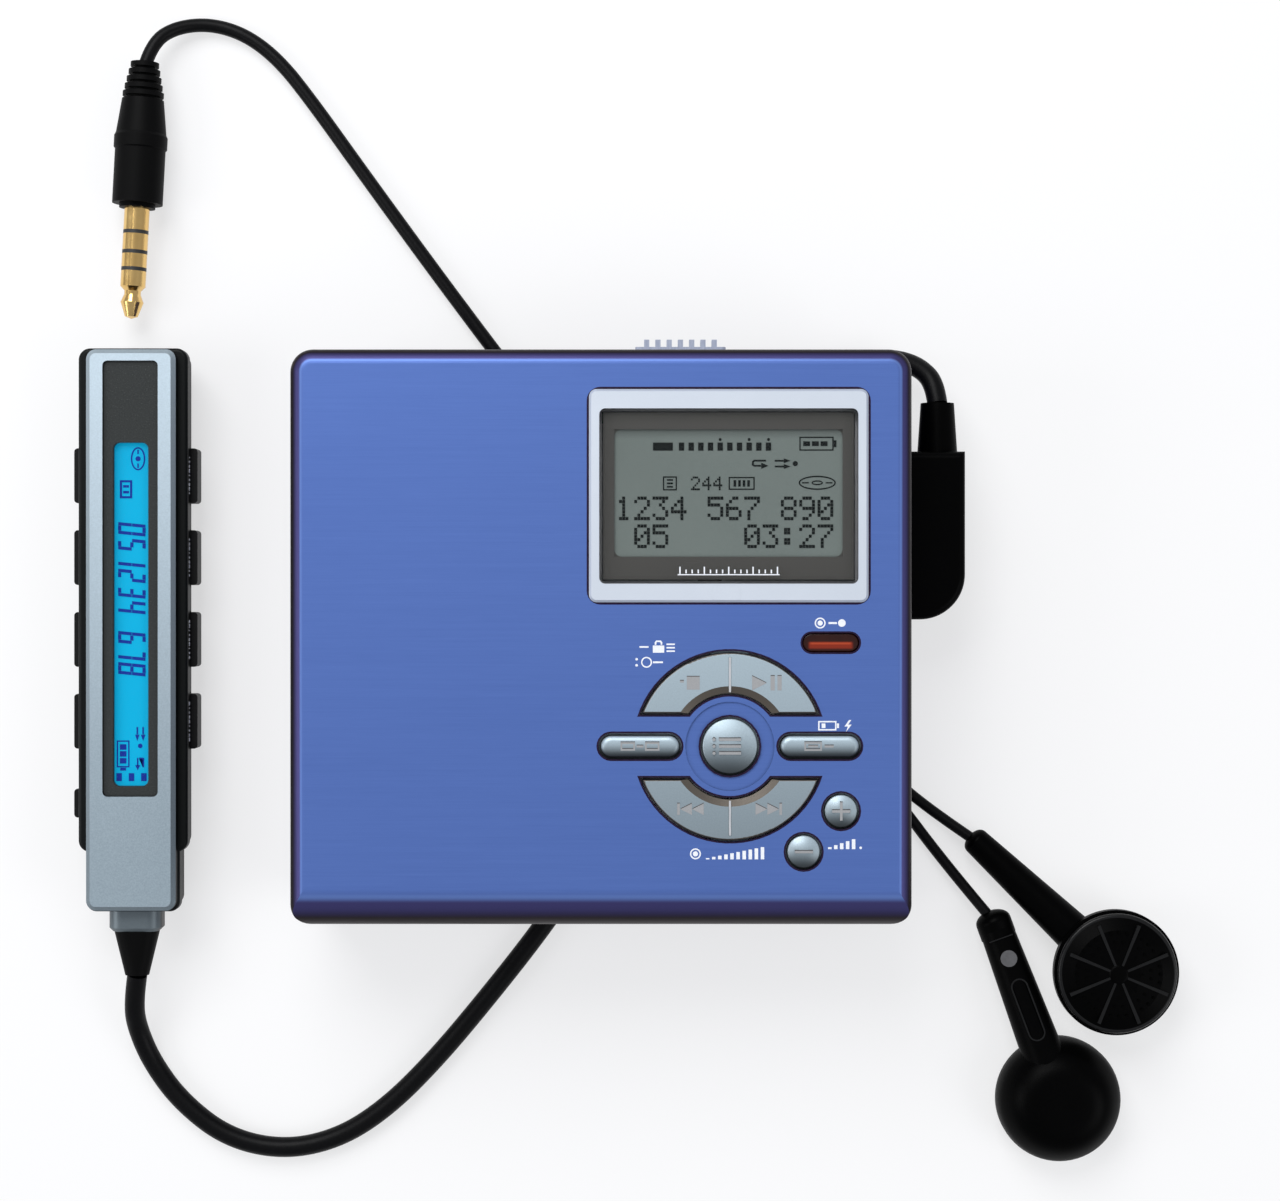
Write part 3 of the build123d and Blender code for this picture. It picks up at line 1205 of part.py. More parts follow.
remote_route = laid([
    (-64.75 - 5.15, -52.0, gland_z), (-70.7, -56.3, 4.9), (-70.5, -60.2, 2.6), (-68.6, -65.2, cord_z),
    (-64.6, -70.6, cord_z), (-58.2, -75.6, cord_z), (-50.3, -77.4, cord_z), (-42.5, -75.8, cord_z),
    (-35.6, -71.4, cord_z), (-28.6, -64.4, cord_z), (-21.0, -55.3, cord_z), (-13.4, -45.6, cord_z),
    (-4.8, -33.0, cord_z), (2.0, -20.0, cord_z), (2.3, -8.0, cord_z), (-3.5, 2.5, cord_z),
    (-13.5, 9.0, cord_z), (-24.5, 10.6, cord_z), (-33.5, 12.6, cord_z), (-37.8, 17.9, cord_z),
    (-38.1, 24.7, cord_z), (-34.4, 30.4, cord_z), (-25.6, 33.75, 3.4), (-13.4, 33.75, 3.4),
    (-3.6, 33.4, 1.5), (8.0, 33.8, cord_z), (20.0, 33.5, cord_z), (28.0, 33.6, 1.5),
    (33.0, 33.9, 2.6), (36.4, 33.6, 4.2), (39.2, 32.2, 6.2), (40.8, 29.9, 7.8),
    (41.1, 27.25, 8.3)])
remote_route[0] = (remote_dx, remote_dy + gland_end - relief_length, gland_z)
remote_route[-1] = (relief_x, plug_relief_end, plug_z)
cord("remote_cord", remote_route, remote_cord_diameter)

# ---- earphones -----------------------------------------------------------------------------------
plug_tilt = 3.1                         # of the earphone plug from the Y axis
phone_plug_z = 3.7
pin_length, pin_radius_phone = 15.5, 1.75
phone_plug_x, phone_plug_y = -71.23, 39.42      # the pin's tip
PHONE_PLUG = Plane(
    origin=(player_x + layout_x + phone_plug_x, player_y + layout_y + phone_plug_y, phone_plug_z),
    x_dir=(cos(radians(plug_tilt)), -sin(radians(plug_tilt)), 0), z_dir=(0, 0, 1))
PLUG_AXIS = Axis(PHONE_PLUG.origin, PHONE_PLUG.y_dir)
body_start, body_ring, body_cone, body_end = 15.5, 23.7, 30.7, 35.9

with BuildPart() as earphone_plug_contacts:
    with BuildSketch(PHONE_PLUG):
        with BuildLine():
            Polyline((0, 0), (0.9, 0.3), (1.6, 2.3), (1.15, 3.4), (1.15, 3.9), (pin_radius_phone, 4.5),
                     (pin_radius_phone, pin_length), (0, pin_length), (0, 0))
        make_face()
    revolve(axis=PLUG_AXIS)
save(earphone_plug_contacts, "earphone_plug_contacts")

with BuildPart() as earphone_plug_body:
    with BuildSketch(PHONE_PLUG):
        with BuildLine():
            Polyline((0, body_start), (2.5, body_start), (2.5, body_start + 0.6), (3.5, body_start + 0.6),
                     (3.5, body_ring), (3.7, body_ring + 0.2), (3.7, body_ring + 1.8),
                     (3.5, body_ring + 2.2), (2.9, body_cone), (0, body_cone), (0, body_start))
        make_face()
        for i in range(5):
            with BuildLine():
                low = body_cone + i * (body_end - body_cone) / 5
                high = low + (body_end - body_cone) / 5
                neck = 2.3 - 0.22 * i
                Polyline((0, low), (neck, low), (neck, low + 0.4), (neck + 0.55, low + 0.4),
                         (neck + 0.55, high), (0, high), (0, low))
            make_face()
    revolve(axis=PLUG_AXIS)
save(earphone_plug_body, "earphone_plug_body")

bellows_end = PHONE_PLUG.from_local_coords((0, body_end, 0))
phone_route = laid([
    (-69.15, 75.3, phone_plug_z), (-68.2, 78.3, 3.3), (-65.2, 80.6, 2.0), (-60.6, 81.3, phone_z),
    (-55.6, 79.8, phone_z), (-50.9, 76.2, phone_z), (-46.3, 70.4, phone_z), (-38.5, 59.5, phone_z),
    (-28.0, 45.1, phone_z), (-16.8, 30.2, phone_z), (-8.0, 19.5, phone_z), (0.5, 11.0, phone_z),
    (7.5, 3.0, phone_z), (13.3, -4.6, phone_z), (19.1, -10.5, phone_z)])
phone_route[0] = (bellows_end.X - player_x, bellows_end.Y - player_y, phone_plug_z)
cord("earphone_cord", phone_route, phone_cord_diameter)

divider_x, divider_y = 21.0 + layout_x, -12.2 + layout_y
divider_length = 5.0
divider_angle = -42.0
DIVIDER = Plane(origin=(player_x + divider_x, player_y + divider_y, 0),
                x_dir=(cos(radians(divider_angle)), sin(radians(divider_angle)), 0), z_dir=(0, 0, 1))
with BuildPart() as cord_divider:
    with BuildSketch(DIVIDER):
        with BuildLine():
            Polyline((-divider_length / 2, -1.2), (divider_length / 2, -1.9), (divider_length / 2, 1.9),
                     (-divider_length / 2, 1.2), (-divider_length / 2, -1.2))
        make_face()
    extrude(amount=2.3)
    fillet(cord_divider.faces().sort_by(Axis.Z)[-1].edges(), 0.4)
save(cord_divider, "cord_divider")


def divider_point(u, v, z):
    """A point of the divider's own frame, as a place from the recorder's middle."""
    point = DIVIDER.from_local_coords((u, v, z))
    return (point.X - player_x, point.Y - player_y, z)


right_route = laid([(23.5, -13.2, branch_z), (29.0, -18.6, branch_z), (35.6, -25.1, branch_z),
                    (41.0, -29.6, branch_z), (47.2, -33.8, 2.0)])
left_route = laid([(22.2, -14.6, branch_z), (28.2, -20.0, branch_z), (35.6, -27.2, branch_z),
                   (42.9, -37.0, branch_z), (49.6, -45.0, 2.6)])
right_route[0] = divider_point(divider_length / 2, 0.95, branch_z)
left_route[0] = divider_point(divider_length / 2, -0.95, branch_z)


def earbud(name, head, tail, tail_radius, neck_radius, tail_z, neck_z, grille_up, cap):
    """An earbud lying flat: head with its rim, stem to the cord, and the grille as its own piece."""
    head_x, head_y = head[0] + layout_x + player_x, head[1] + layout_y + player_y
    tail_x, tail_y = tail[0] + layout_x + player_x, tail[1] + layout_y + player_y
    radius = earbud_diameter / 2
    reach = sqrt((head_x - tail_x) ** 2 + (head_y - tail_y) ** 2)
    along = Vector((head_x - tail_x) / reach, (head_y - tail_y) / reach, 0)
    upright = Plane(origin=(head_x, head_y, 0), x_dir=(1, 0, 0), z_dir=(0, -1, 0))
    axis = Axis((head_x, head_y, 0), (0, 0, 1))
    grille_height = 2.0
    back_height = 6.6
    full = grille_height + back_height
    turn = (lambda z: z) if grille_up else (lambda z: full - z)
    with BuildPart() as housing:
        with BuildSketch(upright):
            with BuildLine():
                Polyline((0, turn(0)), (4.2, turn(0)), (5.6, turn(0.7)), (6.4, turn(2.4)),
                         (7.9, turn(4.6)), (radius, turn(5.2)), (radius, turn(back_height)),
                         (0, turn(back_height)), (0, turn(0)))
            make_face()
        revolve(axis=axis)
        with BuildSketch(Plane(origin=(tail_x, tail_y, tail_z), z_dir=along)):
            Circle(tail_radius)
        neck = (head_x - 5.0 * along.X, head_y - 5.0 * along.Y, neck_z)
        with BuildSketch(Plane(origin=neck, z_dir=along)):
            Circle(neck_radius)
        loft()
        if cap:
            with BuildSketch(Plane(origin=(tail_x, tail_y, tail_z), z_dir=along)):
                Circle(tail_radius + 0.15)
            extrude(amount=2.2)
    save(housing, f"{name}_earbud_housing")
    with BuildPart() as grille:
        with BuildSketch(upright):
            with BuildLine():
                Polyline((0, turn(back_height)), (radius - 0.6, turn(back_height)),
                         (radius - 0.9, turn(back_height + 1.1)), (radius - 2.6, turn(full - 0.25)),
                         (3.0, turn(full)), (0, turn(full)), (0, turn(back_height)))
            make_face()
        revolve(axis=axis)
    save(grille, f"{name}_earbud_grille")
    return tail_x - player_x, tail_y - player_y, tail_z


right_end = earbud("right", (66.2, -51.7), (47.2, -33.8), 1.9, 2.9, 2.0, 3.6, True, False)
left_end = earbud("left", (58.6, -69.8), (49.6, -45.0), 2.35, 3.0, 2.6, 5.2, False, True)
right_route[-1] = right_end
left_route[-1] = left_end
cord("right_branch_cord", right_route, branch_diameter)
cord("left_branch_cord", left_route, branch_diameter)
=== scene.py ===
# %% [markdown]
# # A pocket disc recorder, its wired remote control and its earphones
#
# A blue recorder with a hinged lid, a silver stick remote on its left and the earphones, whose
# cords run under the recorder.  The solids come from the frame in metres, so this lesson adds
# the cords as smooth curves, the finish of every surface, and the small printed details.

# %% Load the frame
from math import asin, atan, atan2, cos, pi, radians, sin

import bpy
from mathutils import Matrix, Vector


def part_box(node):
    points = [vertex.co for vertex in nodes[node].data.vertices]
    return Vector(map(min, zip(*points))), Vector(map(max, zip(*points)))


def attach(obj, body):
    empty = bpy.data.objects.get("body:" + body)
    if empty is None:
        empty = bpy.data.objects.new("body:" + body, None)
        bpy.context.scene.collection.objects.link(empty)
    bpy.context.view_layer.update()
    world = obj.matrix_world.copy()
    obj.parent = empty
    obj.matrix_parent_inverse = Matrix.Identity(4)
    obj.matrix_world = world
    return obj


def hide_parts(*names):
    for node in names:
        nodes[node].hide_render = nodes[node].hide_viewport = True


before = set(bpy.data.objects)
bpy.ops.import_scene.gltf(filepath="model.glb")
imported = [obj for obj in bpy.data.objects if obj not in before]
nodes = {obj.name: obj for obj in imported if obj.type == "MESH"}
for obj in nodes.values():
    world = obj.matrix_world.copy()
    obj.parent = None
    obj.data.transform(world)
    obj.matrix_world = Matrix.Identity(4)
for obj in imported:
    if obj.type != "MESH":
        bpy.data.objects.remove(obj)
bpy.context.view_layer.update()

# %% [markdown]
# ## Places and sizes
#
# Places are in millimetres, as on a drawing, from the middles of the recorder and the remote.
# Reading those from the frame keeps the details on their pieces if a size changes.

# %% Millimetres and reference places
MM = 0.001


def mm(*values):
    """Millimetres to a vector in metres."""
    return Vector(values) * MM


def middle(node):
    """The middle of a node's box, in millimetres."""
    low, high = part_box(node)
    return [(a + b) / 2 / MM for a, b in zip(low, high)]


def top_of(node):
    """A node's highest point, in millimetres."""
    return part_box(node)[1][2] / MM


player_x, player_y = middle("lid_panel")[:2]
remote_x, remote_y = middle("remote_top_shell")[:2]
menu_x, menu_y = middle("menu_button")[:2]
lid_top = top_of("lid_panel")
print("recorder at", round(player_x, 2), round(player_y, 2), "lid top", round(lid_top, 2))

# %% [markdown]
# ## Camera
#
# The objects are seen from straight above, so one lens centred over the layout is enough.  A
# 75 mm lens from 377 mm shows the sides of the remote and of the plug a little, as a real one.

# %% The camera
def add(name, data):
    """A new object in the scene."""
    made = bpy.data.objects.new(name, data)
    bpy.context.scene.collection.objects.link(made)
    return made


layout_x, layout_y = 21.15, 3.81      # middle of the layout
CAMERA_HEIGHT = 377
camera = add("camera", bpy.data.cameras.new("camera"))
camera.data.lens, camera.data.sensor_width = 75, 36
camera.location = mm(layout_x, layout_y, CAMERA_HEIGHT)
bpy.context.scene.camera = camera
bpy.context.scene.view_settings.view_transform = "Standard"
print("camera over", [round(v, 4) for v in camera.location])

# %% [markdown]
# ## Materials: a socket that can be calculated with
#
# Patterns are sums and products of noises and distances.  A small class with the usual
# operators round a node's output lets each finish be written as a formula.

# %% The wrapper
class Wire:
    """An output socket that can be added, multiplied and compared."""

    def __init__(self, finish, socket):
        self.finish, self.socket = finish, socket

    def maths(self, operation, first, second):
        return self.finish.node("Math", {"operation": operation}, {0: first, 1: second})

    def __rsub__(self, other):
        return self.maths("SUBTRACT", other, self)

    def __abs__(self):
        return self.maths("ABSOLUTE", self, 0.0)


def operator(operation):
    """A method that puts one maths node on a wire and another value."""
    return lambda wire, other: wire.maths(operation, wire, other)


for method, operation in (("__add__", "ADD"), ("__radd__", "ADD"), ("__sub__", "SUBTRACT"),
                          ("__mul__", "MULTIPLY"), ("__truediv__", "DIVIDE"), ("__pow__", "POWER"),
                          ("__gt__", "GREATER_THAN"), ("__lt__", "LESS_THAN"), ("most", "MAXIMUM")):
    setattr(Wire, method, operator(operation))

# %% [markdown]
# A finish is one Principled shader and the nodes that feed it.  Every node comes from one
# method, which sets its options first and then its inputs.

# %% The material builder
class Finish:
    """A material being built round one Principled shader."""

    def __init__(self, name, colour=(0.5, 0.5, 0.5), shine=0.5, **constants):
        self.material = bpy.data.materials.new(name)
        self.material.use_nodes = True
        self.tree = self.material.node_tree
        self.tree.nodes.clear()
        self.shader = self.tree.nodes.new("ShaderNodeBsdfPrincipled")
        output = self.tree.nodes.new("ShaderNodeOutputMaterial")
        self.tree.links.new(self.shader.outputs[0], output.inputs["Surface"])
        self.set(Base_Color=colour, Specular_IOR_Level=shine, **constants)

    def set(self, **values):
        """Set or link sockets of the shader; an underscore stands for a space."""
        for name, value in values.items():
            self.feed(self.shader.inputs[name.replace("_", " ")], value)

    def feed(self, socket, value):
        if isinstance(value, Wire):
            self.tree.links.new(value.socket, socket)
        elif socket.type == "RGBA" and len(value) == 3:
            socket.default_value = (*value, 1)
        else:
            socket.default_value = value

    def node(self, kind, options=None, inputs=None, out=0):
        made = self.tree.nodes.new("ShaderNode" + kind)
        for name, value in (options or {}).items():
            setattr(made, name, value)
        for key, value in (inputs or {}).items():
            self.feed(made.inputs[key], value)
        return Wire(self, made.outputs[out])

    def place(self, scale=(1, 1, 1), turn=0.0, origin=(0, 0, 0)):
        """Object coordinates in millimetres from origin, turned about Z and scaled."""
        coords = self.node("TexCoord", out="Object")
        moved = self.node("VectorMath", {"operation": "SUBTRACT"}, {0: coords, 1: mm(*origin)})
        return self.node("Mapping", None, {
            "Vector": moved, "Rotation": (0, 0, turn), "Scale": [s / MM for s in scale]})

    def split(self, vector):
        parts = self.tree.nodes.new("ShaderNodeSeparateXYZ")
        self.feed(parts.inputs[0], vector)
        return [Wire(self, output) for output in parts.outputs]

    def axes(self, **where):
        """The three coordinates of a place, as wires."""
        return self.split(self.place(**where))

    def facing(self):
        """How far a surface faces its piece's own up, from -1 to 1."""
        return self.split(self.node("TexCoord", out="Normal"))[2]

    def noise(self, size, detail=2.0, stretch=(1, 1, 1), roughness=0.5):
        """Noise from 0 to 1 whose blotches are about size millimetres across."""
        vector = self.place(scale=[1 / (size * s) for s in stretch])
        return self.node("TexNoise", None, {
            "Vector": vector, "Scale": 1.0, "Detail": detail, "Roughness": roughness})

    def ramp(self, value, low, high):
        """0 below low, 1 above high, smooth between."""
        return self.node("MapRange", {"interpolation_type": "SMOOTHSTEP"}, {
            "Value": value, "From Min": low, "From Max": high})

    def mix(self, first, second, factor):
        """Colour that goes from first to second with factor."""
        return self.node("Mix", {"data_type": "RGBA"}, {0: factor, 6: first, 7: second}, out=2)

    def cover(self, piece):
        """Make this the only material of a piece."""
        piece.data.materials.clear()
        piece.data.materials.append(self.material)

    def bump(self, height, depth):
        """Raise the surface by height, a wire from 0 to 1, times depth millimetres."""
        self.set(Normal=self.node("Bump", None, {"Height": height, "Distance": depth * MM}))

    def coat(self, dark, light, grain, rough, rougher=0.0, depth=0.0, stain=None, share=0.4):
        """Colour, roughness and bump that follow a grain; a stain can have a share of the colour."""
        factor = grain if stain is None else grain * (1 - share) + stain * share
        self.set(Base_Color=self.mix(dark, light, factor), Roughness=grain * rougher + rough)
        if depth:
            self.bump(grain, depth)


# %% [markdown]
# Helpers: a rounded field for displays, the steps that every new piece shares, and a finish for
# pieces that are in the frame already.

# %% Helpers
def past_field(x, y, wide, high, corner):
    """Distance beyond a rounded rectangle, in millimetres; x and y are wires."""
    past_x = (abs(x) - (wide / 2 - corner)).most(0.0)
    past_y = (abs(y) - (high / 2 - corner)).most(0.0)
    return (past_x * past_x + past_y * past_y) ** 0.5 - corner


def curve(name, kind, lines, **options):
    """Curve data with its options, and a spline of a kind for each line of points in millimetres."""
    data = bpy.data.curves.new(name, "CURVE")
    for option, value in options.items():
        setattr(data, option, value)
    for line in lines:
        spline = data.splines.new(kind)
        spline.points.add(len(line) - 1)
        for point, place in zip(spline.points, line):
            point.co = (*mm(*place), 1)
        spline.order_u, spline.use_endpoint_u, spline.use_cyclic_u = 3, kind == "NURBS", kind == "POLY"
    return data


def finish_off(piece, finish, body):
    """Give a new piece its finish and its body."""
    finish.cover(piece)
    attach(piece, body)
    return piece


def settle(at, turn, finish, body):
    """Put the active piece in its place, in millimetres, for good and finish it off."""
    piece = bpy.context.object
    piece.location, piece.rotation_euler = mm(*at), turn
    bpy.ops.object.transform_apply()
    finish_off(piece, finish, body)
    print(piece.name, len(piece.data.polygons), "faces")


def dress(finish, *names):
    """Give a finish to CAD nodes by name."""
    for name in names:
        finish.cover(nodes[name])
    print(finish.material.name, "on", len(names), "pieces")


# %% [markdown]
# ## The cords
#
# Each cord is one NURBS curve of order three: its control points are the corners of its route
# and the curve rounds them off, as a soft jacket does.  The remote's cord is the thickest.  It
# leaves the remote at its front end, runs under the recorder in a wide bend and comes up beside
# it into the plug.  The earphone cord crosses under the recorder and forks in two.

# %% Cord jacket
jacket = Finish("cord_jacket", shine=0.10)
jacket.coat((0.0010, 0.0010, 0.0012), (0.0035, 0.0035, 0.0040), jacket.noise(0.35), 0.36, 0.12, 0.012)

# %% Routes, from the layout's own middle
gland_z, plug_z, phone_plug_z = 6.2, 8.3, 3.7
cord_z, phone_z, branch_z = 1.4, 0.95, 0.75


def level(z, *points):
    """Control points at one height."""
    return [(x, y, z) for x, y in points]


remote_route = [(-69.9, -52.0, gland_z), (-70.7, -56.3, 4.9), (-70.5, -60.2, 2.6)]
remote_route += level(
    cord_z, (-68.6, -65.2), (-64.6, -70.6), (-58.2, -75.6), (-50.3, -77.4), (-42.5, -75.8), (-35.6, -71.4),
    (-28.6, -64.4), (-21.0, -55.3), (-13.4, -45.6), (-4.8, -33.0), (2.0, -20.0), (2.3, -8.0), (-3.5, 2.5),
    (-13.5, 9.0), (-24.5, 10.6), (-33.5, 12.6), (-37.8, 17.9), (-38.1, 24.7), (-34.4, 30.4))
remote_route += [
    (-25.6, 33.75, 3.4), (-13.4, 33.75, 3.4), (-3.6, 33.4, 1.5), (8.0, 33.8, cord_z), (20.0, 33.5, cord_z),
    (28.0, 33.6, 1.5), (33.0, 33.9, 2.6), (36.4, 33.6, 4.2), (39.2, 32.2, 6.2), (40.8, 29.9, 7.8),
    (41.1, 27.25, plug_z)]
phone_route = [(-69.15, 75.3, phone_plug_z), (-68.2, 78.3, 3.3), (-65.2, 80.6, 2.0)]
phone_route += level(
    phone_z, (-60.6, 81.3), (-55.6, 79.8), (-50.9, 76.2), (-46.3, 70.4), (-38.5, 59.5), (-28.0, 45.1),
    (-16.8, 30.2), (-8.0, 19.5), (0.5, 11.0), (7.5, 3.0), (13.3, -4.6), (19.1, -10.5))
right_route = level(branch_z, (23.5, -13.2), (29.0, -18.6), (35.6, -25.1), (41.0, -29.6)) + [(47.2, -33.8, 2.0)]
left_route = level(branch_z, (22.2, -14.6), (28.2, -20.0), (35.6, -27.2), (42.9, -37.0)) + [(49.6, -45.0, 2.6)]


# %% A cord from its route
def cord_curve(name, route, diameter):
    """One NURBS spline pulled by the control points, with a round section."""
    data = curve(name, "NURBS", [[(x + layout_x, y + layout_y, z) for x, y, z in route]], dimensions="3D",
                 bevel_depth=diameter / 2 * MM, bevel_resolution=6, resolution_u=10, use_fill_caps=True)
    print(name, "with", len(route), "control points")
    return finish_off(add(name, data), jacket, "case")


def start_of(route):
    """Where a route starts, in metres."""
    x, y, z = route[0]
    return mm(x + layout_x, y + layout_y, z)


# %% [markdown]
# The first and last points of a route are where the cord meets its plug or relief, so they come
# from those pieces: the remote's relief points along Y, and so does the plug's.

# %% The four cords
relief_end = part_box("remote_strain_relief")[0][1] / MM
plug_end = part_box("remote_plug")[1][1] / MM
remote_route[0] = (remote_x - layout_x, relief_end - layout_y, gland_z)
remote_route[-1] = (remote_route[-1][0], plug_end - layout_y, plug_z)
remote_cord = cord_curve("remote_cord_curve", remote_route, 2.8)
phone_cord = cord_curve("earphone_cord_curve", phone_route, 1.9)
right_cord = cord_curve("right_branch_curve", right_route, 1.5)
left_cord = cord_curve("left_branch_curve", left_route, 1.5)
for piece, node in ((remote_cord, "remote_cord"), (phone_cord, "earphone_cord"),
                    (right_cord, "right_branch_cord"), (left_cord, "left_branch_cord")):
    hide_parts(node)

# %% [markdown]
# The start of each cord is worked out from its route, in metres.

# %% Cord facts
start_of(remote_route)
start_of(phone_route)
start_of(right_route)
start_of(left_route)

# %% [markdown]
# ## The blue lid
#
# The lid is pressed aluminium, brushed from side to side and anodised blue.  Its rolled edges
# turn away from the light and look almost black, with a violet tint: that dark is painted shade,
# and a lighter line where the roll meets the face is a painted highlight.  Brushing is noise
# stretched along X, which drives colour, roughness and a small bump.  The roll is found from
# how far the surface faces up on the lid itself, so the colours stay when the lid opens.

# %% Brushed blue
lid_blue = Finish("brushed_blue", Metallic=0.5, shine=0.12)
long_grain = lid_blue.noise(0.30, detail=4, stretch=(90, 0.6, 60), roughness=0.7)
fine_grain = lid_blue.noise(0.09, stretch=(60, 1, 60))
cloud = lid_blue.noise(30, detail=1)
grain = long_grain * 0.6 + fine_grain * 0.4
face = lid_blue.mix((0.070, 0.130, 0.385), (0.108, 0.188, 0.490), grain * 0.85 + cloud * 0.15)
up = lid_blue.facing()
on_face = lid_blue.ramp(up, 0.975, 0.999)
# Painted shade: the roll darkens to violet black as it turns from up; a painted highlight runs where the roll
# meets the face.
painted_crease_highlight = lid_blue.ramp(up, 0.93, 0.98) * (1.0 - lid_blue.ramp(up, 0.985, 0.9995))
edge = lid_blue.mix((0.005, 0.001, 0.004), (0.048, 0.044, 0.140), lid_blue.ramp(up, 0.62, 0.90))
edge = lid_blue.mix(edge, (0.110, 0.185, 0.460), painted_crease_highlight)
lid_blue.set(Base_Color=lid_blue.mix(edge, face, on_face), Roughness=0.34 + grain * 0.16)
lid_blue.bump(grain, 0.006)
dress(lid_blue, "lid_panel")

# %% [markdown]
# ## The lower case
#
# The case below the lid is moulded and painted in a darker blue-violet.  Satin paint over a
# fine texture scatters light evenly, so a small noise in colour, roughness and bump is enough.

# %% Dark blue paint
case_paint = Finish("dark_blue_paint", Metallic=0.25, Coat_Roughness=0.3, Coat_Weight=0.2)
case_paint.coat((0.022, 0.020, 0.100), (0.036, 0.034, 0.150), case_paint.noise(0.25), 0.40, 0.15, 0.01,
                case_paint.noise(18), 0.5)
dress(case_paint, "lower_case", "battery_door")

# %% [markdown]
# ## Silver parts
#
# Three silvers differ in grain.  The display's frame is satin paint, almost white, with painted
# shade where it turns away from up.  The keys are matt bead-blasted metal in a cool grey, with
# painted shade towards their front and where they curve down.  The remote's shell has a coarse
# metallic flake, with painted light along it and painted shade on its slopes.  A flake is fast
# noise in roughness and brightness.

# %% Satin silver frame
frame_silver = Finish("satin_silver", Metallic=0.35)
flake = frame_silver.noise(0.12)
# Painted shade: the frame darkens where its surface turns away from up, on its bevels and sides.
frame_silver.set(
    Base_Color=frame_silver.mix(
        (0.10, 0.11, 0.13),
        frame_silver.mix((0.54, 0.59, 0.66), (0.68, 0.73, 0.80),
                         flake * 0.5 + frame_silver.noise(9, detail=3) * 0.5),
        frame_silver.ramp(frame_silver.facing(), 0.15, 0.9)),
    Roughness=0.30 + flake * 0.12)
frame_silver.bump(flake, 0.004)
dress(frame_silver, "display_frame")


# %% Key silver, with painted shade towards the front of each key
def key_silver(name, key, depth, tone=1.0, rim_at=(0.30, 0.80)):
    """Matt silver with painted shade: darker towards the front and at the edges that curve away."""
    finish = Finish(name, Metallic=0.45)
    blast = finish.noise(0.16)
    # Painted shade: the key darkens towards its front, and where it curves down a dark bronze band of painted
    # shade takes over.
    down = finish.axes(origin=middle(key))[1] / depth
    lean = finish.facing()
    level = finish.ramp(down, -1.0, 0.75) * (0.82 + blast * 0.3)
    bright = [c * tone for c in (0.43, 0.53, 0.59)]
    body = finish.mix([c * 0.09 for c in bright], bright, level)
    rim = finish.mix((0.010, 0.010, 0.012), (0.085, 0.072, 0.058), finish.ramp(lean, 0.5, 0.94))
    finish.set(Base_Color=finish.mix(rim, body, finish.ramp(lean, *rim_at)), Roughness=0.36 + blast * 0.14)
    finish.bump(blast, 0.006)
    return finish


dress(key_silver("crescent_silver", "menu_button", 55, 1.13, (0.955, 0.985)), "stop_play_key", "skip_key")
for key, reach, tone in (("menu_button", 3.9, 1.0), ("group_button", 1.25, 1.0), ("display_button", 1.25, 1.0),
                         ("volume_up_button", 2.1, 0.9), ("volume_down_button", 2.1, 0.9)):
    dress(key_silver(key + "_silver", key, reach, tone), key)

# %% Remote's silver, with coarser flake, painted light and painted shade
remote_silver = Finish("remote_silver", shine=0.12)
coarse = remote_silver.noise(0.22, detail=3, roughness=0.7)
slope = remote_silver.facing()
along_y, height = remote_silver.axes()[1:]
# Painted light: half of the tone ramps from dark at the cord end to light at the far end.
shade = coarse * 0.5 + remote_silver.ramp(along_y, -38, 38) * 0.5
skin = remote_silver.mix((0.21, 0.265, 0.30), (0.55, 0.655, 0.73), shade)
SHOULDER = 9.5                        # height of the ledge that carries the side keys
# Faces that slope away go dark, which is painted shade; below the shoulder it goes near black for the remote's
# black side.
face_up = remote_silver.ramp(slope, 0.45, 0.92) * remote_silver.ramp(height, SHOULDER + 0.1, SHOULDER + 0.3)
remote_silver.set(Base_Color=remote_silver.mix((0.003, 0.004, 0.004), skin, face_up), Metallic=face_up * 0.5,
                  Roughness=0.33 + coarse * 0.2)
remote_silver.bump(coarse, 0.008)
dress(remote_silver, "remote_top_shell", "remote_clip")
dress(key_silver("gland_silver", "remote_gland", 45, 0.42, (0.1, 0.6)), "remote_gland")

# %% Open slider: translucent silver-blue
slider_paint = Finish("slider_silver", Metallic=0.4, Coat_Weight=0.3)
slider_paint.coat((0.30, 0.34, 0.46), (0.52, 0.56, 0.66),
                  slider_paint.noise(0.4, detail=3, stretch=(0.4, 3, 3)), 0.3, 0.1)
dress(slider_paint, "open_slider")

# %% [markdown]
# ## Black parts
#
# Moulded black plastic is never quite black: it has a fine spark-eroded texture and a soft
# sheen.  The earbuds are smoother, the back of the remote is rougher, and the rubber reliefs
# are the dullest.

# %% Black plastics and rubber
def black_plastic(name, tone, rough, size, depth, shine=0.1):
    """Near-black moulding; shine is its mirror reflection."""
    finish = Finish(name, shine=shine)
    finish.coat([tone * 0.6] * 3, [tone * 1.5, tone * 1.5, tone * 1.6], finish.noise(size, detail=3),
                rough, 0.12, depth, finish.noise(12))
    return finish


shell_black = black_plastic("shell_black", 0.004, 0.40, 0.20, 0.012, 0.15)
dress(shell_black, "remote_back_shell", "remote_right_keys", "remote_left_keys", "remote_hold_slider")
gloss_black = black_plastic("earbud_black", 0.0005, 0.34, 0.5, 0.002, 0.03)
dress(gloss_black, "left_earbud_housing", "left_earbud_grille", "right_earbud_housing",
      "right_earbud_grille", "remote_plug")
relief_black = black_plastic("relief_black", 0.0015, 0.45, 0.15, 0.010, 0.06)
dress(relief_black, "remote_strain_relief", "earphone_plug_body", "cord_divider", "rubber_mounts")
inner_black = black_plastic("inner_black", 0.02, 0.5, 0.3, 0.01)
dress(inner_black, "turntable", "record_head", "remote_socket", "line_in_jack", "power_jack")

# %% [markdown]
# ## Gold plug
#
# The pin of the plug is gold-plated brass with thin black rings between its four contacts.  The
# rings are bands along the pin, so the pattern is turned to the pin's own axis.

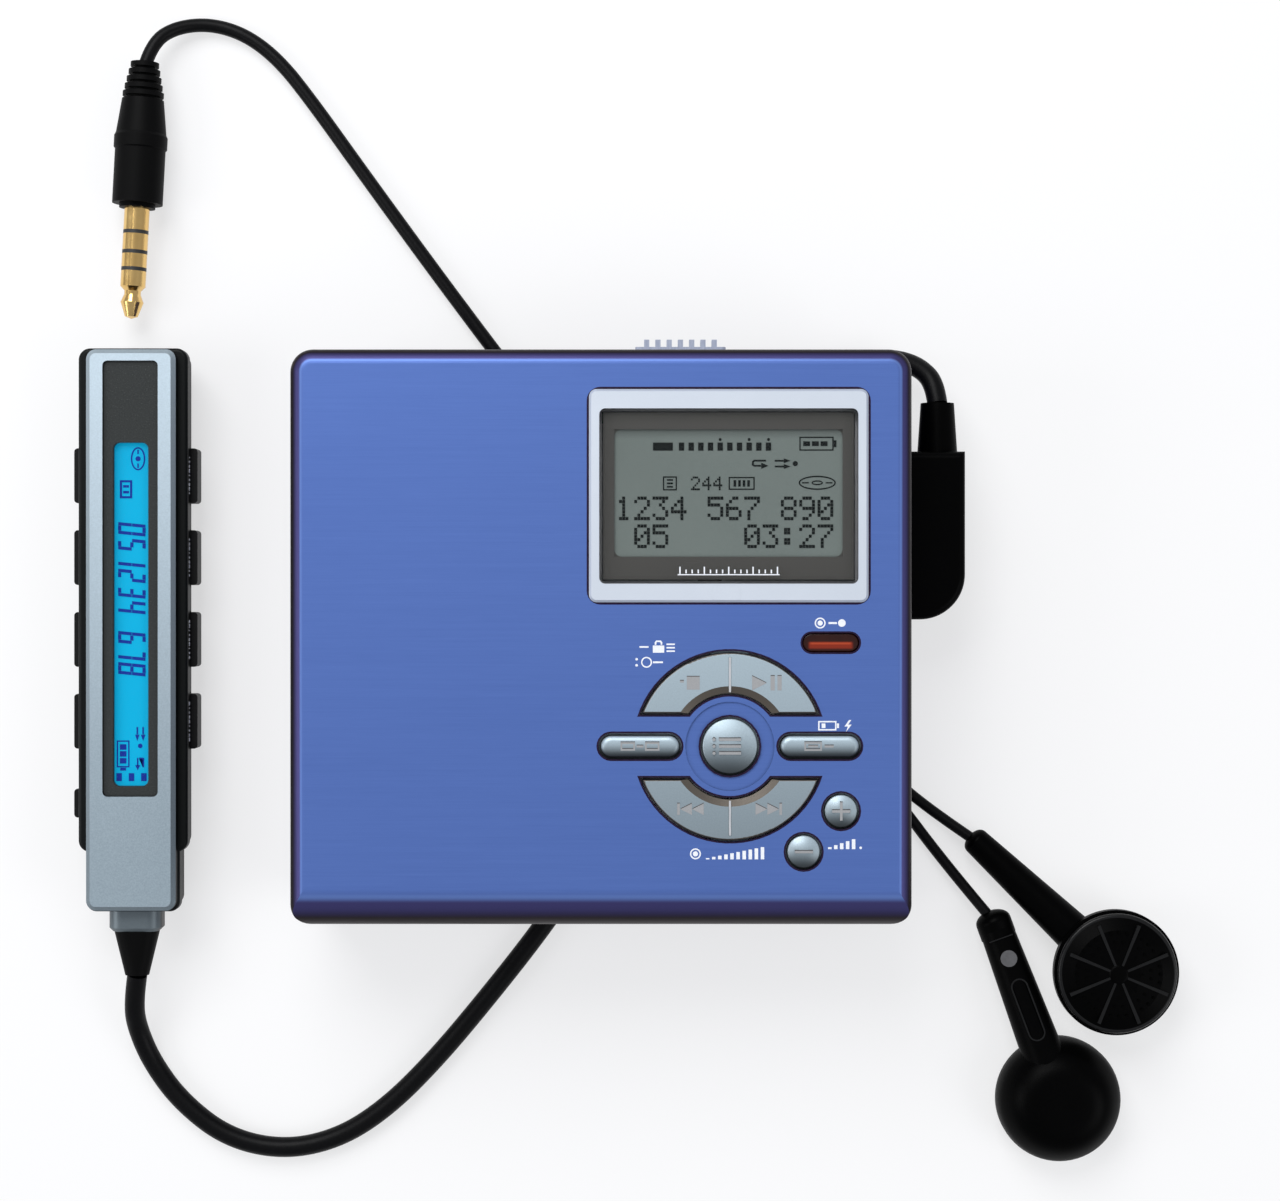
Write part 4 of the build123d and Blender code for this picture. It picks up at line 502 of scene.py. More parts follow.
# %% Gold with black rings
PIN_TILT = radians(3.1)
gold = Finish("gold_plate")
tip = (middle("earphone_plug_contacts")[0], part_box("earphone_plug_contacts")[0][1] / MM, 0)
along = gold.axes(turn=PIN_TILT, origin=tip)[1]
RING_HALF = 0.26
first, second, third = (abs(along - place) < RING_HALF for place in (6.9, 9.3, 12.1))
rings = first.most(second).most(third)
tarnish = gold.noise(3, detail=3)
plated = gold.mix((0.72, 0.44, 0.14), (0.88, 0.62, 0.26), tarnish)
gold.set(Base_Color=gold.mix(plated, (0.01, 0.01, 0.01), rings), Metallic=1.0 - rings,
         Roughness=0.16 + rings * 0.3 + tarnish * 0.06)
dress(gold, "earphone_plug_contacts")


# %% [markdown]
# ## Bare metals
#
# The die-cast frames, the sheet parts, the ground pins and the motor cans differ in the size
# and direction of their grain, so one function makes them all.  Grain, tone and gloss vary
# together, as they do where metal is rubbed.

# %% Cast, sheet, ground and plated metal
def metal(name, tone, tint, size, stretch, rough, depth):
    """Bare metal; its grain has a size in millimetres, a stretch and a depth."""
    finish = Finish(name, Metallic=0.9)
    finish.coat([tone * 0.7 * t for t in tint], [tone * 1.15 * t for t in tint],
                finish.noise(size, detail=3, stretch=stretch, roughness=0.6), rough, 0.16, depth,
                finish.noise(9))
    return finish


GREY, STEEL, BRASS = (1.0, 1.0, 1.02), (0.97, 0.98, 1.0), (1.0, 0.74, 0.34)
dress(metal("die_cast", 0.42, GREY, 0.6, (1, 1, 1), 0.45, 0.03), "mid_frame", "lid_frame")
dress(metal("sheet_steel", 0.50, STEEL, 0.25, (1, 40, 1), 0.26, 0.006),
      "disc_holder", "deck_chassis", "latch_plate")
dress(metal("ground_steel", 0.62, STEEL, 0.08, (30, 1, 1), 0.18, 0.003),
      "hinge_pins", "guide_rods", "lead_screw", "case_screws")
dress(metal("motor_can", 0.46, STEEL, 0.3, (1, 1, 8), 0.30, 0.006), "spindle_motor", "sled_motor")
dress(metal("battery_can", 0.52, GREY, 0.5, (20, 1, 1), 0.32, 0.005), "battery")
dress(metal("brass_leaf", 0.60, BRASS, 0.3, (1, 12, 1), 0.30, 0.005), "battery_contacts")

# %% [markdown]
# ## Circuit boards and the pickup
#
# Solder resist over copper shows its tracks as slightly lighter, raised lines.  A brick pattern
# without mortar offset gives long parallel runs.  The pickup is a dark casting with a glass
# lens, which is a disc of distance round its middle.

# %% Boards
board_green = Finish("circuit_board", Coat_Weight=0.3)
across = board_green.node("TexBrick", {"offset": 0.37, "squash": 1.0}, {
    "Vector": board_green.place(), "Scale": 1.0, "Mortar Size": 0.16, "Brick Width": 6.0, "Row Height": 0.9},
    out="Fac")
resist = board_green.noise(5, detail=3)
green = board_green.mix((0.012, 0.075, 0.030), (0.030, 0.150, 0.060), across * 0.7 + resist * 0.3)
board_green.set(Base_Color=green, Roughness=0.34 + resist * 0.12)
board_green.bump(across, 0.03)
dress(board_green, "key_board", "main_board")

# %% Pickup
pickup_paint = Finish("pickup_black")
LENS_RADIUS = 1.9
off_x, off_y = pickup_paint.axes(origin=middle("optical_pickup"))[:2]
lens = ((off_x * off_x + off_y * off_y) ** 0.5 < LENS_RADIUS) * (pickup_paint.facing() > 0.8)
cast = pickup_paint.noise(0.4, detail=3)
casting = pickup_paint.mix((0.02, 0.02, 0.022), (0.05, 0.05, 0.055), cast)
pickup_paint.set(Base_Color=pickup_paint.mix(casting, (0.05, 0.09, 0.22), lens), Coat_Weight=lens,
                 Roughness=0.42 - lens * 0.36 + cast * 0.1)
pickup_paint.bump(cast, 0.015)
dress(pickup_paint, "optical_pickup")

# %% [markdown]
# ## The recorder's display
#
# Under a clear window lies a dark mask, and in its opening the grey-green liquid crystal,
# which is darker along the top where the mask throws its shadow.  Opening and glass are one
# surface in the frame, so the mask is what lies beyond a rounded rectangle.

# %% Display module
LCD_X, LCD_Y, LCD_WIDE, LCD_HIGH, LCD_CORNER = player_x + 16.8, player_y + 19.12, 30.05, 16.76, 1.0
lcd = Finish("lcd", shine=0.15)
lcd_x, lcd_y = lcd.axes(origin=(LCD_X, LCD_Y, 0))[:2]
outside = past_field(lcd_x, lcd_y, LCD_WIDE, LCD_HIGH, LCD_CORNER)
crystal = lcd.noise(0.22)
slow = lcd.noise(14, detail=1)
lit_glass = lcd.mix((0.125, 0.150, 0.140), (0.195, 0.228, 0.212), crystal * 0.5 + slow * 0.5)
shadow = lcd.ramp(lcd_y, LCD_HIGH / 2 - 1.5, LCD_HIGH / 2 - 0.1)
glass = lcd.mix(lit_glass, (0.085, 0.098, 0.092), shadow * 0.8)
mask = lcd.mix((0.050, 0.048, 0.044), (0.080, 0.076, 0.070), crystal)
lcd.set(Base_Color=lcd.mix(glass, mask, lcd.ramp(outside, -0.05, 0.05)), Roughness=0.42 + crystal * 0.12)
lcd.bump(crystal, 0.004)
dress(lcd, "display_module")

# %% Clear window
clear = Finish("clear_window", (0.06, 0.07, 0.07))
smear = clear.noise(7, detail=3)
clear.set(Alpha=0.05 + smear * 0.03, Roughness=0.04 + smear * 0.05)
dress(clear, "display_window")

# %% [markdown]
# ## The record button
#
# A translucent dark red pill with a brighter bar along it, painted light as from a light pipe seen edge on, and
# a painted glint over the bar.

# %% Dark red with a painted bright lower bar and a painted glint
red = Finish("record_red", Coat_Weight=0.2, Coat_Roughness=0.08, shine=0.2)
red_x, red_y = red.axes(origin=middle("record_button"))[:2]
painted_glow_bar = red.ramp(0.62 - abs(red_y + 0.35), 0.0, 0.38) * red.ramp(3.1 - abs(red_x), 0.0, 0.5)
glint = red.ramp(0.2 - abs(red_y + 0.1), 0.0, 0.15) * red.ramp(2.9 - abs(red_x), 0.0, 0.5)
haze = red.noise(1.2, detail=3)
body_red = red.mix((0.014, 0.004, 0.003), (0.032, 0.007, 0.004), haze)
red_with_painted_bar = red.mix(body_red, (0.20, 0.020, 0.007), painted_glow_bar)
red.set(Base_Color=red.mix(red_with_painted_bar, (0.42, 0.060, 0.02), glint * 0.7), Roughness=0.16 + haze * 0.1)
red.bump(haze, 0.004)
dress(red, "record_button")

# %% [markdown]
# ## The remote's display
#
# The window is smoked with a clear field over the lit panel; the panel shines an even cyan
# blue, a little brighter in its middle.

# %% Smoked window
smoked = Finish("smoked_window", shine=0.25)
FIELD_Y, FIELD_WIDE, FIELD_HIGH, FIELD_CORNER = remote_y + 2.15, 4.8, 47.2, 0.9
smoked_x, smoked_y = smoked.axes(origin=(remote_x, FIELD_Y, 0))[:2]
beyond = past_field(smoked_x, smoked_y, FIELD_WIDE, FIELD_HIGH, FIELD_CORNER)
weave = smoked.noise(0.18)
smoked.set(Base_Color=smoked.mix((0.016, 0.018, 0.018), (0.042, 0.046, 0.045), weave),
           Alpha=0.03 + smoked.ramp(beyond, -0.12, 0.12) * 0.97, Roughness=0.14 + weave * 0.2)
smoked.bump(weave, 0.004)
dress(smoked, "remote_window")

# %% Lit blue panel
panel = Finish("lit_blue", shine=0.1, Emission_Strength=0.5)
panel_x, panel_y = panel.axes(origin=(remote_x, FIELD_Y, 0))[:2]
diffuser = panel.noise(0.5)
fall_off = (panel.ramp(abs(panel_x), 0.6, 2.9) * 0.35 + panel.ramp(abs(panel_y), 16, 24) * 0.2
            + diffuser * 0.12)
glow = panel.mix((0.000, 0.400, 0.680), (0.000, 0.290, 0.540), fall_off)
panel.set(Base_Color=panel.mix((0.000, 0.250, 0.420), (0.000, 0.180, 0.330), fall_off), Emission_Color=glow,
          Roughness=0.45 + diffuser * 0.1)
dress(panel, "remote_display")


# %% [markdown]
# ## Flat marks
#
# Display segments, printed signs and raised icons are flat outlines lifted a few hundredths of
# a millimetre.  A filled two-dimensional curve takes any number of closed outlines, one inside
# another for a ring, so a whole group of marks is one curve, turned into a mesh at the end.

# %% Outlines, in millimetres
def box(x, y, wide, high):
    """A rectangle about its middle."""
    return [(x + a * wide / 2, y + b * high / 2) for a, b in ((-1, -1), (1, -1), (1, 1), (-1, 1))]


def frame_of(x, y, wide, high, line=0.2):
    """A rectangle's border: the outer outline and the inner one."""
    return [box(x, y, wide, high), box(x, y, wide - 2 * line, high - 2 * line)]


def disc(x, y, radius, flat=1.0, points=28):
    """A disc, or an ellipse when flat is under one."""
    return [(x + radius * cos(2 * pi * i / points), y + flat * radius * sin(2 * pi * i / points))
            for i in range(points)]


def ring(x, y, radius, line=0.2, flat=1.0):
    """A ring: two discs, one in the other, as far apart above as beside."""
    inner = radius - line
    return [disc(x, y, radius, flat), disc(x, y, inner, flat * (radius - line / flat) / inner)]


def rounded(x, y, wide, high, corner, points=7):
    """A rectangle with round corners; a pill or a disc when corner is half the height."""
    outline = []
    for quarter, (sx, sy) in enumerate(((1, 1), (-1, 1), (-1, -1), (1, -1))):
        for i in range(points):
            angle = pi / 2 * (quarter + i / (points - 1))
            outline.append((x + sx * (wide / 2 - corner) + corner * cos(angle),
                            y + sy * (high / 2 - corner) + corner * sin(angle)))
    return outline


def band(x, y, wide, high, corner, line):
    """A closed band of even width: a rounded outline and the same one grown by line."""
    grown = rounded(x, y, wide + 2 * line, high + 2 * line, corner + line)
    return [rounded(x, y, wide, high, corner), grown]


def arrow(x, y, wide, high):
    """A triangle that points right, or left when wide is negative."""
    return [(x - wide / 2, y - high / 2), (x + wide / 2, y), (x - wide / 2, y + high / 2)]


def turned(outlines):
    """The outlines turned a quarter clockwise about the origin."""
    return [[(y, -x) for x, y in outline] for outline in outlines]


def moved(outlines, x, y):
    """The outlines moved by (x, y)."""
    return [[(a + x, b + y) for a, b in outline] for outline in outlines]


# %% From outlines to a piece
def stamp(name, outlines, low, high, finish, body, at, turn=(0, 0, 0)):
    """One mesh piece from many outlines, between two heights, turned about its own middle."""
    lines = [[(x, y, 0) for x, y in outline] for outline in outlines]
    thick = (high - low) * MM
    piece = add(name, curve(name, "POLY", lines, dimensions="2D", fill_mode="BOTH", extrude=thick / 2))
    bpy.ops.object.select_all(action="DESELECT")
    piece.select_set(True)
    bpy.context.view_layer.objects.active = piece
    bpy.ops.object.convert(target="MESH")
    settle((*at, (low + high) / 2), turn, finish, body)


# %% [markdown]
# Digits are five by seven dots.  Each row is a number whose five lowest bits are the dots, so a
# digit is seven small numbers.

# %% Dotted digits
DIGITS = {
    "0": (14, 17, 19, 21, 25, 17, 14), "1": (4, 12, 4, 4, 4, 4, 14), "2": (14, 17, 1, 2, 4, 8, 31),
    "3": (31, 2, 4, 2, 1, 17, 14), "4": (2, 6, 10, 18, 31, 2, 2), "5": (31, 16, 30, 1, 1, 17, 14),
    "6": (6, 8, 16, 30, 17, 17, 14), "7": (31, 1, 2, 4, 8, 8, 8), "8": (14, 17, 17, 14, 17, 17, 14),
    "9": (14, 17, 17, 15, 1, 2, 12), ":": (0, 12, 12, 0, 12, 12, 0), " ": (0,) * 7}


def written(text, advance, dot_x, dot_y, gap=0.04):
    """Outlines of digits, the first one's middle at the origin."""
    outlines = []
    for place, sign in enumerate(text):
        for row, bits in enumerate(DIGITS[sign]):
            y = (3 - row) * dot_y
            for column in range(5):
                if bits >> (4 - column) & 1:
                    outlines.append(box(place * advance + (column - 2) * dot_x, y, dot_x - gap, dot_y - gap))
    return outlines


# %% [markdown]
# The remote has bold digits of up to seven bars.  A bar is a letter, and its place is how far
# across (left, middle, right) and how far up it lies.

# %% Seven-bar digits
SEVEN = {"0": "abcdef", "1": "bc", "2": "abged", "3": "abgcd", "4": "fgbc", "5": "afgcd",
         "6": "afgedc", "7": "abc", "8": "abcdefg", " ": ""}
BARS = {"a": (0, 1), "b": (1, 0.5), "c": (1, -0.5), "d": (0, -1), "e": (-1, -0.5), "f": (-1, 0.5),
        "g": (0, 0)}


def segmented(text, advance, wide, high, stroke, lean, gap=0.06):
    """Outlines of bold seven-bar digits that lean to the right."""
    outlines = []
    for place, sign in enumerate(text):
        for bar in SEVEN[sign]:
            across, up = BARS[bar]
            if across:
                shape = box(across * (wide - stroke) / 2, up * high / 2, stroke, high / 2 - gap)
            else:
                shape = box(0, up * (high - stroke) / 2, wide - 2 * stroke - gap, stroke)
            outlines.append([(place * advance + x + lean * y, y) for x, y in shape])
    return outlines


print(len(DIGITS), "signs of dots,", len(SEVEN), "signs of bars")

# %% [markdown]
# ## Segments of the recorder's display
#
# Two rows of digits, a level meter, a battery with three bars, a repeat arrow, small boxes and
# a disc sign.  They stand on the liquid crystal, a shade darker than the mask.

# %% Liquid crystal segments
segment = Finish("segment_dark", shine=0.03)
segment.coat((0.002, 0.003, 0.003), (0.008, 0.010, 0.010), segment.noise(0.1), 0.6)
CELL, DOT_X, DOT_Y = 2.416, 0.42, 0.45
SMALL = (1.5, 0.24, 0.26, 0.02)
METER_Y, METER_X, METER_STEP = 6.12, -6.18, 1.273
segments = moved(written("1234 567 890", CELL, DOT_X, DOT_Y), -13.8, -2.02)
segments += moved(written(" 05    03:27", CELL, DOT_X, DOT_Y), -13.8, -5.69)
segments += moved(written("24", *SMALL), -4.35, 1.27) + moved(written("4", *SMALL), -1.4, 1.27)
segments += [box(-8.63, METER_Y, 2.62, 1.06)]
segments += [box(METER_X + METER_STEP * i, METER_Y, 0.7, 1.06) for i in range(10)]
segments += [disc(METER_X + METER_STEP * i, 7.05, 0.2) for i in (4, 7, 9)]
battery_sign = frame_of(11.6, 6.5, 4.5, 1.83, 0.16) + [box(14.05, 6.5, 0.35, 0.9)]
battery_sign += [box(10.3 + 1.15 * i, 6.5, 0.9, 0.62) for i in range(3)]
repeat_sign = [[(4.95, 4.38), (3.35, 4.38), (3.1, 4.15), (3.1, 3.7), (3.35, 3.48), (4.3, 3.48), (4.3, 3.7),
                (3.45, 3.7), (3.33, 3.82), (3.33, 4.03), (3.45, 4.15), (4.95, 4.15)],
               arrow(4.8, 3.59, 0.95, 0.8)]
shuffle_sign = [shape for y in (4.25, 3.5) for shape in (box(6.7, y, 1.2, 0.22), arrow(7.75, y, 0.9, 0.62))]
shuffle_sign += [disc(8.8, 3.88, 0.34)]
square_signs = frame_of(-7.71, 1.27, 1.84, 1.84, 0.16) + frame_of(1.74, 1.27, 3.42, 1.7, 0.16)
square_signs += [box(-7.71, 1.27 + y, 0.8, high) for y, high in ((0, 0.22), (-0.45, 0.2), (0.45, 0.2))]
square_signs += [box(0.85 + 0.6 * i, 1.27, 0.34, 0.85) for i in range(4)]
disc_sign = ring(11.7, 1.35, 2.45, 0.18, 0.38) + ring(11.7, 1.35, 0.75, 0.16, 0.42)
disc_sign += [box(11.7 + s * 1.55, 1.35, 0.9, 0.16) for s in (-1, 1)]
segments += battery_sign + repeat_sign + shuffle_sign + square_signs + disc_sign
stamp("display_segments", segments, 25.64, 25.70, segment, "lid", (LCD_X, LCD_Y))

# %% [markdown]
# ## Signs printed on the lid
#
# White ink, a little uneven.  Every word is replaced by a plain sign: a filled dot in a ring by
# the record key, a lock and a stop bar by the hold switch, a charging bolt, and wedges for the
# two level controls.

# %% White ink
ink = Finish("white_ink", shine=0.2)
ink.coat((0.62, 0.64, 0.68), (0.86, 0.88, 0.92), ink.noise(0.3), 0.5, 0.1)
knob_sign = ring(0, 0, 0.72, 0.18) + [disc(0, 0, 0.34)]
record_sign = moved(knob_sign, -1.3, 0) + [box(0.35, 0, 1.1, 0.26), disc(1.55, 0, 0.5)]
lock_sign = [box(-1.9, 0, 1.2, 0.22), box(0.0, -0.28, 1.5, 0.95)]
lock_sign += [box(1.6, y, 1.1, 0.2) for y in (0.35, -0.1, -0.55)]
lock_sign += [[(-0.5, 0.28), (-0.5, 0.62), (-0.3, 0.85), (0.3, 0.85), (0.5, 0.62), (0.5, 0.28),
               (0.28, 0.28), (0.28, 0.55), (0.18, 0.64), (-0.18, 0.64), (-0.28, 0.55), (-0.28, 0.28)]]
off_sign = [disc(-1.75, y, 0.17) for y in (0.4, -0.4)]
off_sign += ring(-0.45, 0, 0.72, 0.18) + [box(1.05, 0, 1.3, 0.24)]
charge_sign = frame_of(-1.1, 0, 2.4, 1.25, 0.18) + [box(0.3, 0, 0.28, 0.6), box(-1.6, 0, 0.5, 0.6)]
charge_sign += [[(1.75, 0.75), (1.15, -0.1), (1.6, -0.1), (1.35, -0.8), (2.1, 0.15), (1.65, 0.15),
                 (2.05, 0.75)]]
level_sign = moved(knob_sign, -4.6, 0)
level_sign += [box(-3.0 + 0.8 * i, -0.72 + 0.08 * (i + 1), 0.46, 0.16 * (i + 1)) for i in range(10)]
volume_sign = [box(-1.9 + 0.78 * i, -0.72 + 0.13 * (i + 1), 0.46, 0.26 * (i + 1)) for i in range(5)]
volume_sign += [disc(2.15, -0.55, 0.17)]
signs = []
for sign, x, y in ((record_sign, 30.1, 2.0), (lock_sign, 7.58, -1.14), (off_sign, 6.46, -3.15),
                   (charge_sign, 30.84, -11.48), (level_sign, 17.03, -28.3), (volume_sign, 31.97, -26.96)):
    signs += moved(sign, x, y)
stamp("lid_signs", signs, lid_top - 0.03, lid_top + 0.025, ink, "lid", (player_x, player_y))
scale_marks = [box(0, -0.42, 13.4, 0.14)]
for i in range(17):
    shift, high = (0.15, 0.95) if i % 4 == 0 else (0, 0.5)
    scale_marks.append(box(-6.4 + 0.8 * i, shift, 0.18, high))
stamp("window_scale", moved(scale_marks, 0, -10.35), 26.78, 26.83, ink, "lid", (LCD_X, LCD_Y))

# %% [markdown]
# ## Painted shade round the openings
#
# Round the display's frame and every key the sheet's edge rounds down into the opening and
# lies in shade.  A thin dark violet band lifted on the lid paints that shade.  Most openings are
# rounded rectangles of some kind; a crescent is two arcs cut off by a straight side.

# %% Painted shade round the openings
# Painted shade: dark violet bands round each opening.
painted_gap_shade = Finish("violet_painted_shade", shine=0.05)
painted_gap_shade.coat((0.006, 0.002, 0.006), (0.030, 0.018, 0.050), painted_gap_shade.noise(0.6), 0.45, 0.1)
CRESCENT_OUTER, CRESCENT_INNER, CRESCENT_FLAT = 12.3, 7.0, 4.35
SHADE_WIDTH, GAP = 0.22, 0.25


def crescent(side, grow, points=28):
    """A crescent's outline about the menu key, grown by a margin."""
    flat, outline = CRESCENT_FLAT - grow, []
    for radius, way in ((CRESCENT_OUTER + grow, 1), (CRESCENT_INNER - grow, -1)):
        start = asin(flat / radius)
        angles = [start + (pi - 2 * start) * i / (points - 1) for i in range(points)][::way]
        outline += [(radius * cos(a), side * radius * sin(a)) for a in angles]
    return outline


frame_x, frame_y = middle("display_frame")[:2]
shade_bands = moved(band(0, 0, 36.7, 28.0, 1.5, 0.3), frame_x - menu_x, frame_y - menu_y)
for side in (1, -1):
    shade_bands += [crescent(side, GAP), crescent(side, GAP + SHADE_WIDTH)]
    shade_bands += band(11.8 * side, 0, 10.5 + 2 * GAP, 2.94 + 2 * GAP, 1.47 + GAP, SHADE_WIDTH)
for key, wide, high in (("menu_button", 7.3, 7.3), ("volume_up_button", 4.34, 4.34),
                        ("volume_down_button", 4.34, 4.34), ("record_button", 7.03, 2.05)):
    x, y = middle(key)[:2]
    shade_bands += band(x - menu_x, y - menu_y, wide + 2 * GAP, high + 2 * GAP, high / 2 + GAP, SHADE_WIDTH)
stamp("opening_painted_shade", shade_bands, lid_top - 0.25, lid_top + 0.008, painted_gap_shade, "lid", (menu_x, menu_y))

# %% [markdown]
# A small tab under the display's frame is where it unclips, and each rocker has a line along
# its middle, so that the thumb finds its two halves; it is drawn bright, as a painted highlight.

# %% Tab and middle lines
frame_top = top_of("display_frame")
stamp("frame_tab", [rounded(0, 0, 3.7, 1.9, 0.35)], frame_top - 0.3, frame_top + 0.03, frame_silver,
      "lid", (32.45, frame_y - 12.75))
# Painted highlight: a bright metal strip along each rocker's middle.
painted_line_highlight = metal("painted_line_highlight", 0.85, STEEL, 0.2, (1, 8, 1), 0.3, 0.003)
for key, side in (("stop_play_key", 1), ("skip_key", -1)):
    stamp(key + "_line", [rounded(0, side * 9.4, 0.26, 4.6, 0.12)], top_of(key) - 0.3, top_of(key) + 0.015,
          painted_line_highlight, key, (menu_x, menu_y))

# %% [markdown]
# ## Icons on the keys
#
# The icons are sunk.  Each has a pale floor and, along its upper edge, a dark line of painted
# shade.  Two stamps do that: a dark one, and a pale one a tenth of a millimetre lower on the key.

# %% Icons
# Painted shade: the dark stamp along each icon's upper edge.
icon_painted_shade = metal("icon_edge_painted_shade", 0.09, GREY, 0.2, (1, 1, 1), 0.5, 0.004)
icon_pale = metal("icon_floor", 0.36, STEEL, 0.2, (1, 1, 1), 0.42, 0.004)
icon_painted_shade.set(Metallic=0.4)
icon_pale.set(Metallic=0.35)
SUNK = 0.12                           # how far the pale floor lies below the dark edge
stop_play = [box(-4.82, 8.3, 1.7, 1.7), box(-6.3, 8.5, 0.5, 0.25), arrow(3.85, 8.3, 1.9, 1.9)]
stop_play += [box(x, 8.3, 0.55, 1.9) for x in (5.6, 6.5)]
skip = [box(x, -8.23, 0.35, 1.5) for x in (-6.75, 6.65)]
skip += [arrow(x, -8.23, 1.5 if x > 0 else -1.5, 1.5) for x in (-5.75, -4.2, 4.1, 5.65)]
entries = [shape for y in (0.9, 0.0, -0.9) for shape in (box(0, y, 2.9, 0.34), disc(-2.1, y, 0.2))]
group = frame_of(-1.6, 0, 1.9, 1.1, 0.22) + frame_of(1.6, 0, 1.9, 1.1, 0.22) + [box(0, 0, 0.9, 0.26)]
screen = frame_of(-0.9, 0, 2.3, 1.15, 0.22) + [box(-0.9, 0, 1.3, 0.26), box(1.2, 0, 1.2, 0.28)]
plus = [[(-1.2, -0.17), (-0.17, -0.17), (-0.17, -1.2), (0.17, -1.2), (0.17, -0.17), (1.2, -0.17),
         (1.2, 0.17), (0.17, 0.17), (0.17, 1.2), (-0.17, 1.2), (-0.17, 0.17), (-1.2, 0.17)]]
for key, icon in (("stop_play_key", stop_play), ("skip_key", skip), ("menu_button", entries),
                  ("group_button", group), ("display_button", screen),
                  ("volume_up_button", plus), ("volume_down_button", [box(0, 0, 2.4, 0.32)])):
    top = top_of(key)
    at = middle("menu_button" if key.endswith("_key") else key)[:2]
    stamp(key + "_icon_edge", moved(icon, 0, SUNK), top - 0.3, top + 0.012, icon_painted_shade, key, at)
    stamp(key + "_icon_floor", icon, top - 0.3, top + 0.022, icon_pale, key, at)

# %% [markdown]
# ## Segments of the remote's display
#
# The line of digits runs down the remote, turned a quarter clockwise.  Above it are the disc
# sign and a small box, below it arrows, a battery and three dashes.

# %% Deep blue segments
deep = Finish("segment_blue", shine=0.03, Emission_Strength=0.12,
              Emission_Color=(0.010, 0.035, 0.33))
deep.coat((0.006, 0.022, 0.200), (0.014, 0.040, 0.320), deep.noise(0.1), 0.6)
disc_sign = ring(0, 0, 1.6, 0.2, 0.62) + [disc(0, 0, 0.35)] + [box(x, 0, 0.6, 0.2) for x in (-0.95, 0.95)]
window_sign = frame_of(0, 0, 2.5, 1.7, 0.3) + [box(x, 0, 0.35, 0.8) for x in (-0.4, 0.4)]
shuffle_sign = [shape for y in (0.4, -0.4) for shape in (box(-0.9, y, 1.0, 0.22), arrow(0.1, y, 0.9, 0.62))]
shuffle_sign += [disc(1.2, 0, 0.32)]
repeat_sign = [box(0, 0.45, 1.3, 0.2), box(-0.6, 0.1, 0.2, 0.5), box(-0.1, -0.35, 1.1, 0.2),
               arrow(0.7, -0.35, 0.7, 0.7)]
battery_sign = frame_of(0, 0, 3.7, 1.75, 0.18) + [box(2.1, 0, 0.4, 0.8)]
battery_sign += [box(-0.95 + 0.95 * i, 0, 0.75, 0.9) for i in range(3)]
segments = [box(x, -22.4, 0.76, 1.1) for x in (-1.75, -0.05, 1.65)]
for sign, x, y in ((segmented("051234 678", 2.14, 1.62, 3.8, 0.44, 0.10), 0, 11.7), (disc_sign, 0.85, 21.4),
                   (window_sign, -0.8, 17.2), (shuffle_sign, 1.15, -16.9), (repeat_sign, 1.15, -20.4),
                   (battery_sign, -1.2, -19.2)):
    segments += moved(turned(sign), x, y)
panel_top = top_of("remote_display")
stamp("remote_segments", segments, panel_top - 0.02, panel_top + 0.04, deep, "case",
      (remote_x, FIELD_Y))


# %% [markdown]
# ## Signs on the remote's sides
#
# Every side key has a row of tiny white signs on the wall above it.  They are unreadable at
# this size, so short ticks of different lengths stand for them.

# %% Ticks beside the side keys
REMOTE_HALF, KEY_PITCH, FIRST_KEY = 7.55, 11.35, 21.35
TICKS, TICK_PITCH, TICK_WIDE = 9, 0.62, 0.06
ticks = []
for side in (-1, 1):
    for i in range(4 * TICKS):
        row, place = divmod(i, TICKS)
        y = FIRST_KEY - row * KEY_PITCH + TICK_PITCH * (place - 4)
        ticks.append(box(side * (REMOTE_HALF + 0.012), y, TICK_WIDE, 0.16 + 0.12 * ((3 * place + row) % 4)))
stamp("remote_side_signs", ticks, 7.75, 8.4, ink, "case", (remote_x, remote_y))

# %% [markdown]
# ## Earphones
#
# The right earbud lies with its grille up: eight spokes run from a hub to the rim, and each
# sector has small holes.  The left one lies on its grille, so its smooth domed back shows.  A
# lathe turns a profile about an upright axis for hub, rim and back.

# %% Lathe
def lathe(name, profile, at, finish):
    """Turn a profile of (radius, height) about Z; the wire is spun and its seam merged."""
    line = [(radius, 0, height) for radius, height in profile]
    data = curve(name + "_profile", "NURBS", [line], dimensions="3D", resolution_u=8)
    bpy.ops.mesh.primitive_plane_add(size=1)
    piece = bpy.context.object
    piece.name = name
    piece.data = bpy.data.meshes.new_from_object(bpy.data.objects.new("wire", data))
    bpy.ops.object.mode_set(mode="EDIT")
    bpy.ops.mesh.select_all(action="SELECT")
    bpy.ops.mesh.spin(steps=64, angle=2 * pi, center=(0, 0, 0), axis=(0, 0, 1))
    bpy.ops.mesh.select_all(action="SELECT")
    bpy.ops.mesh.remove_doubles(threshold=0.000005)
    bpy.ops.mesh.normals_make_consistent(inside=False)
    bpy.ops.object.mode_set(mode="OBJECT")
    bpy.ops.object.shade_smooth_by_angle(angle=radians(35))
    settle((*at, 0), (0, 0, 0), finish, "case")


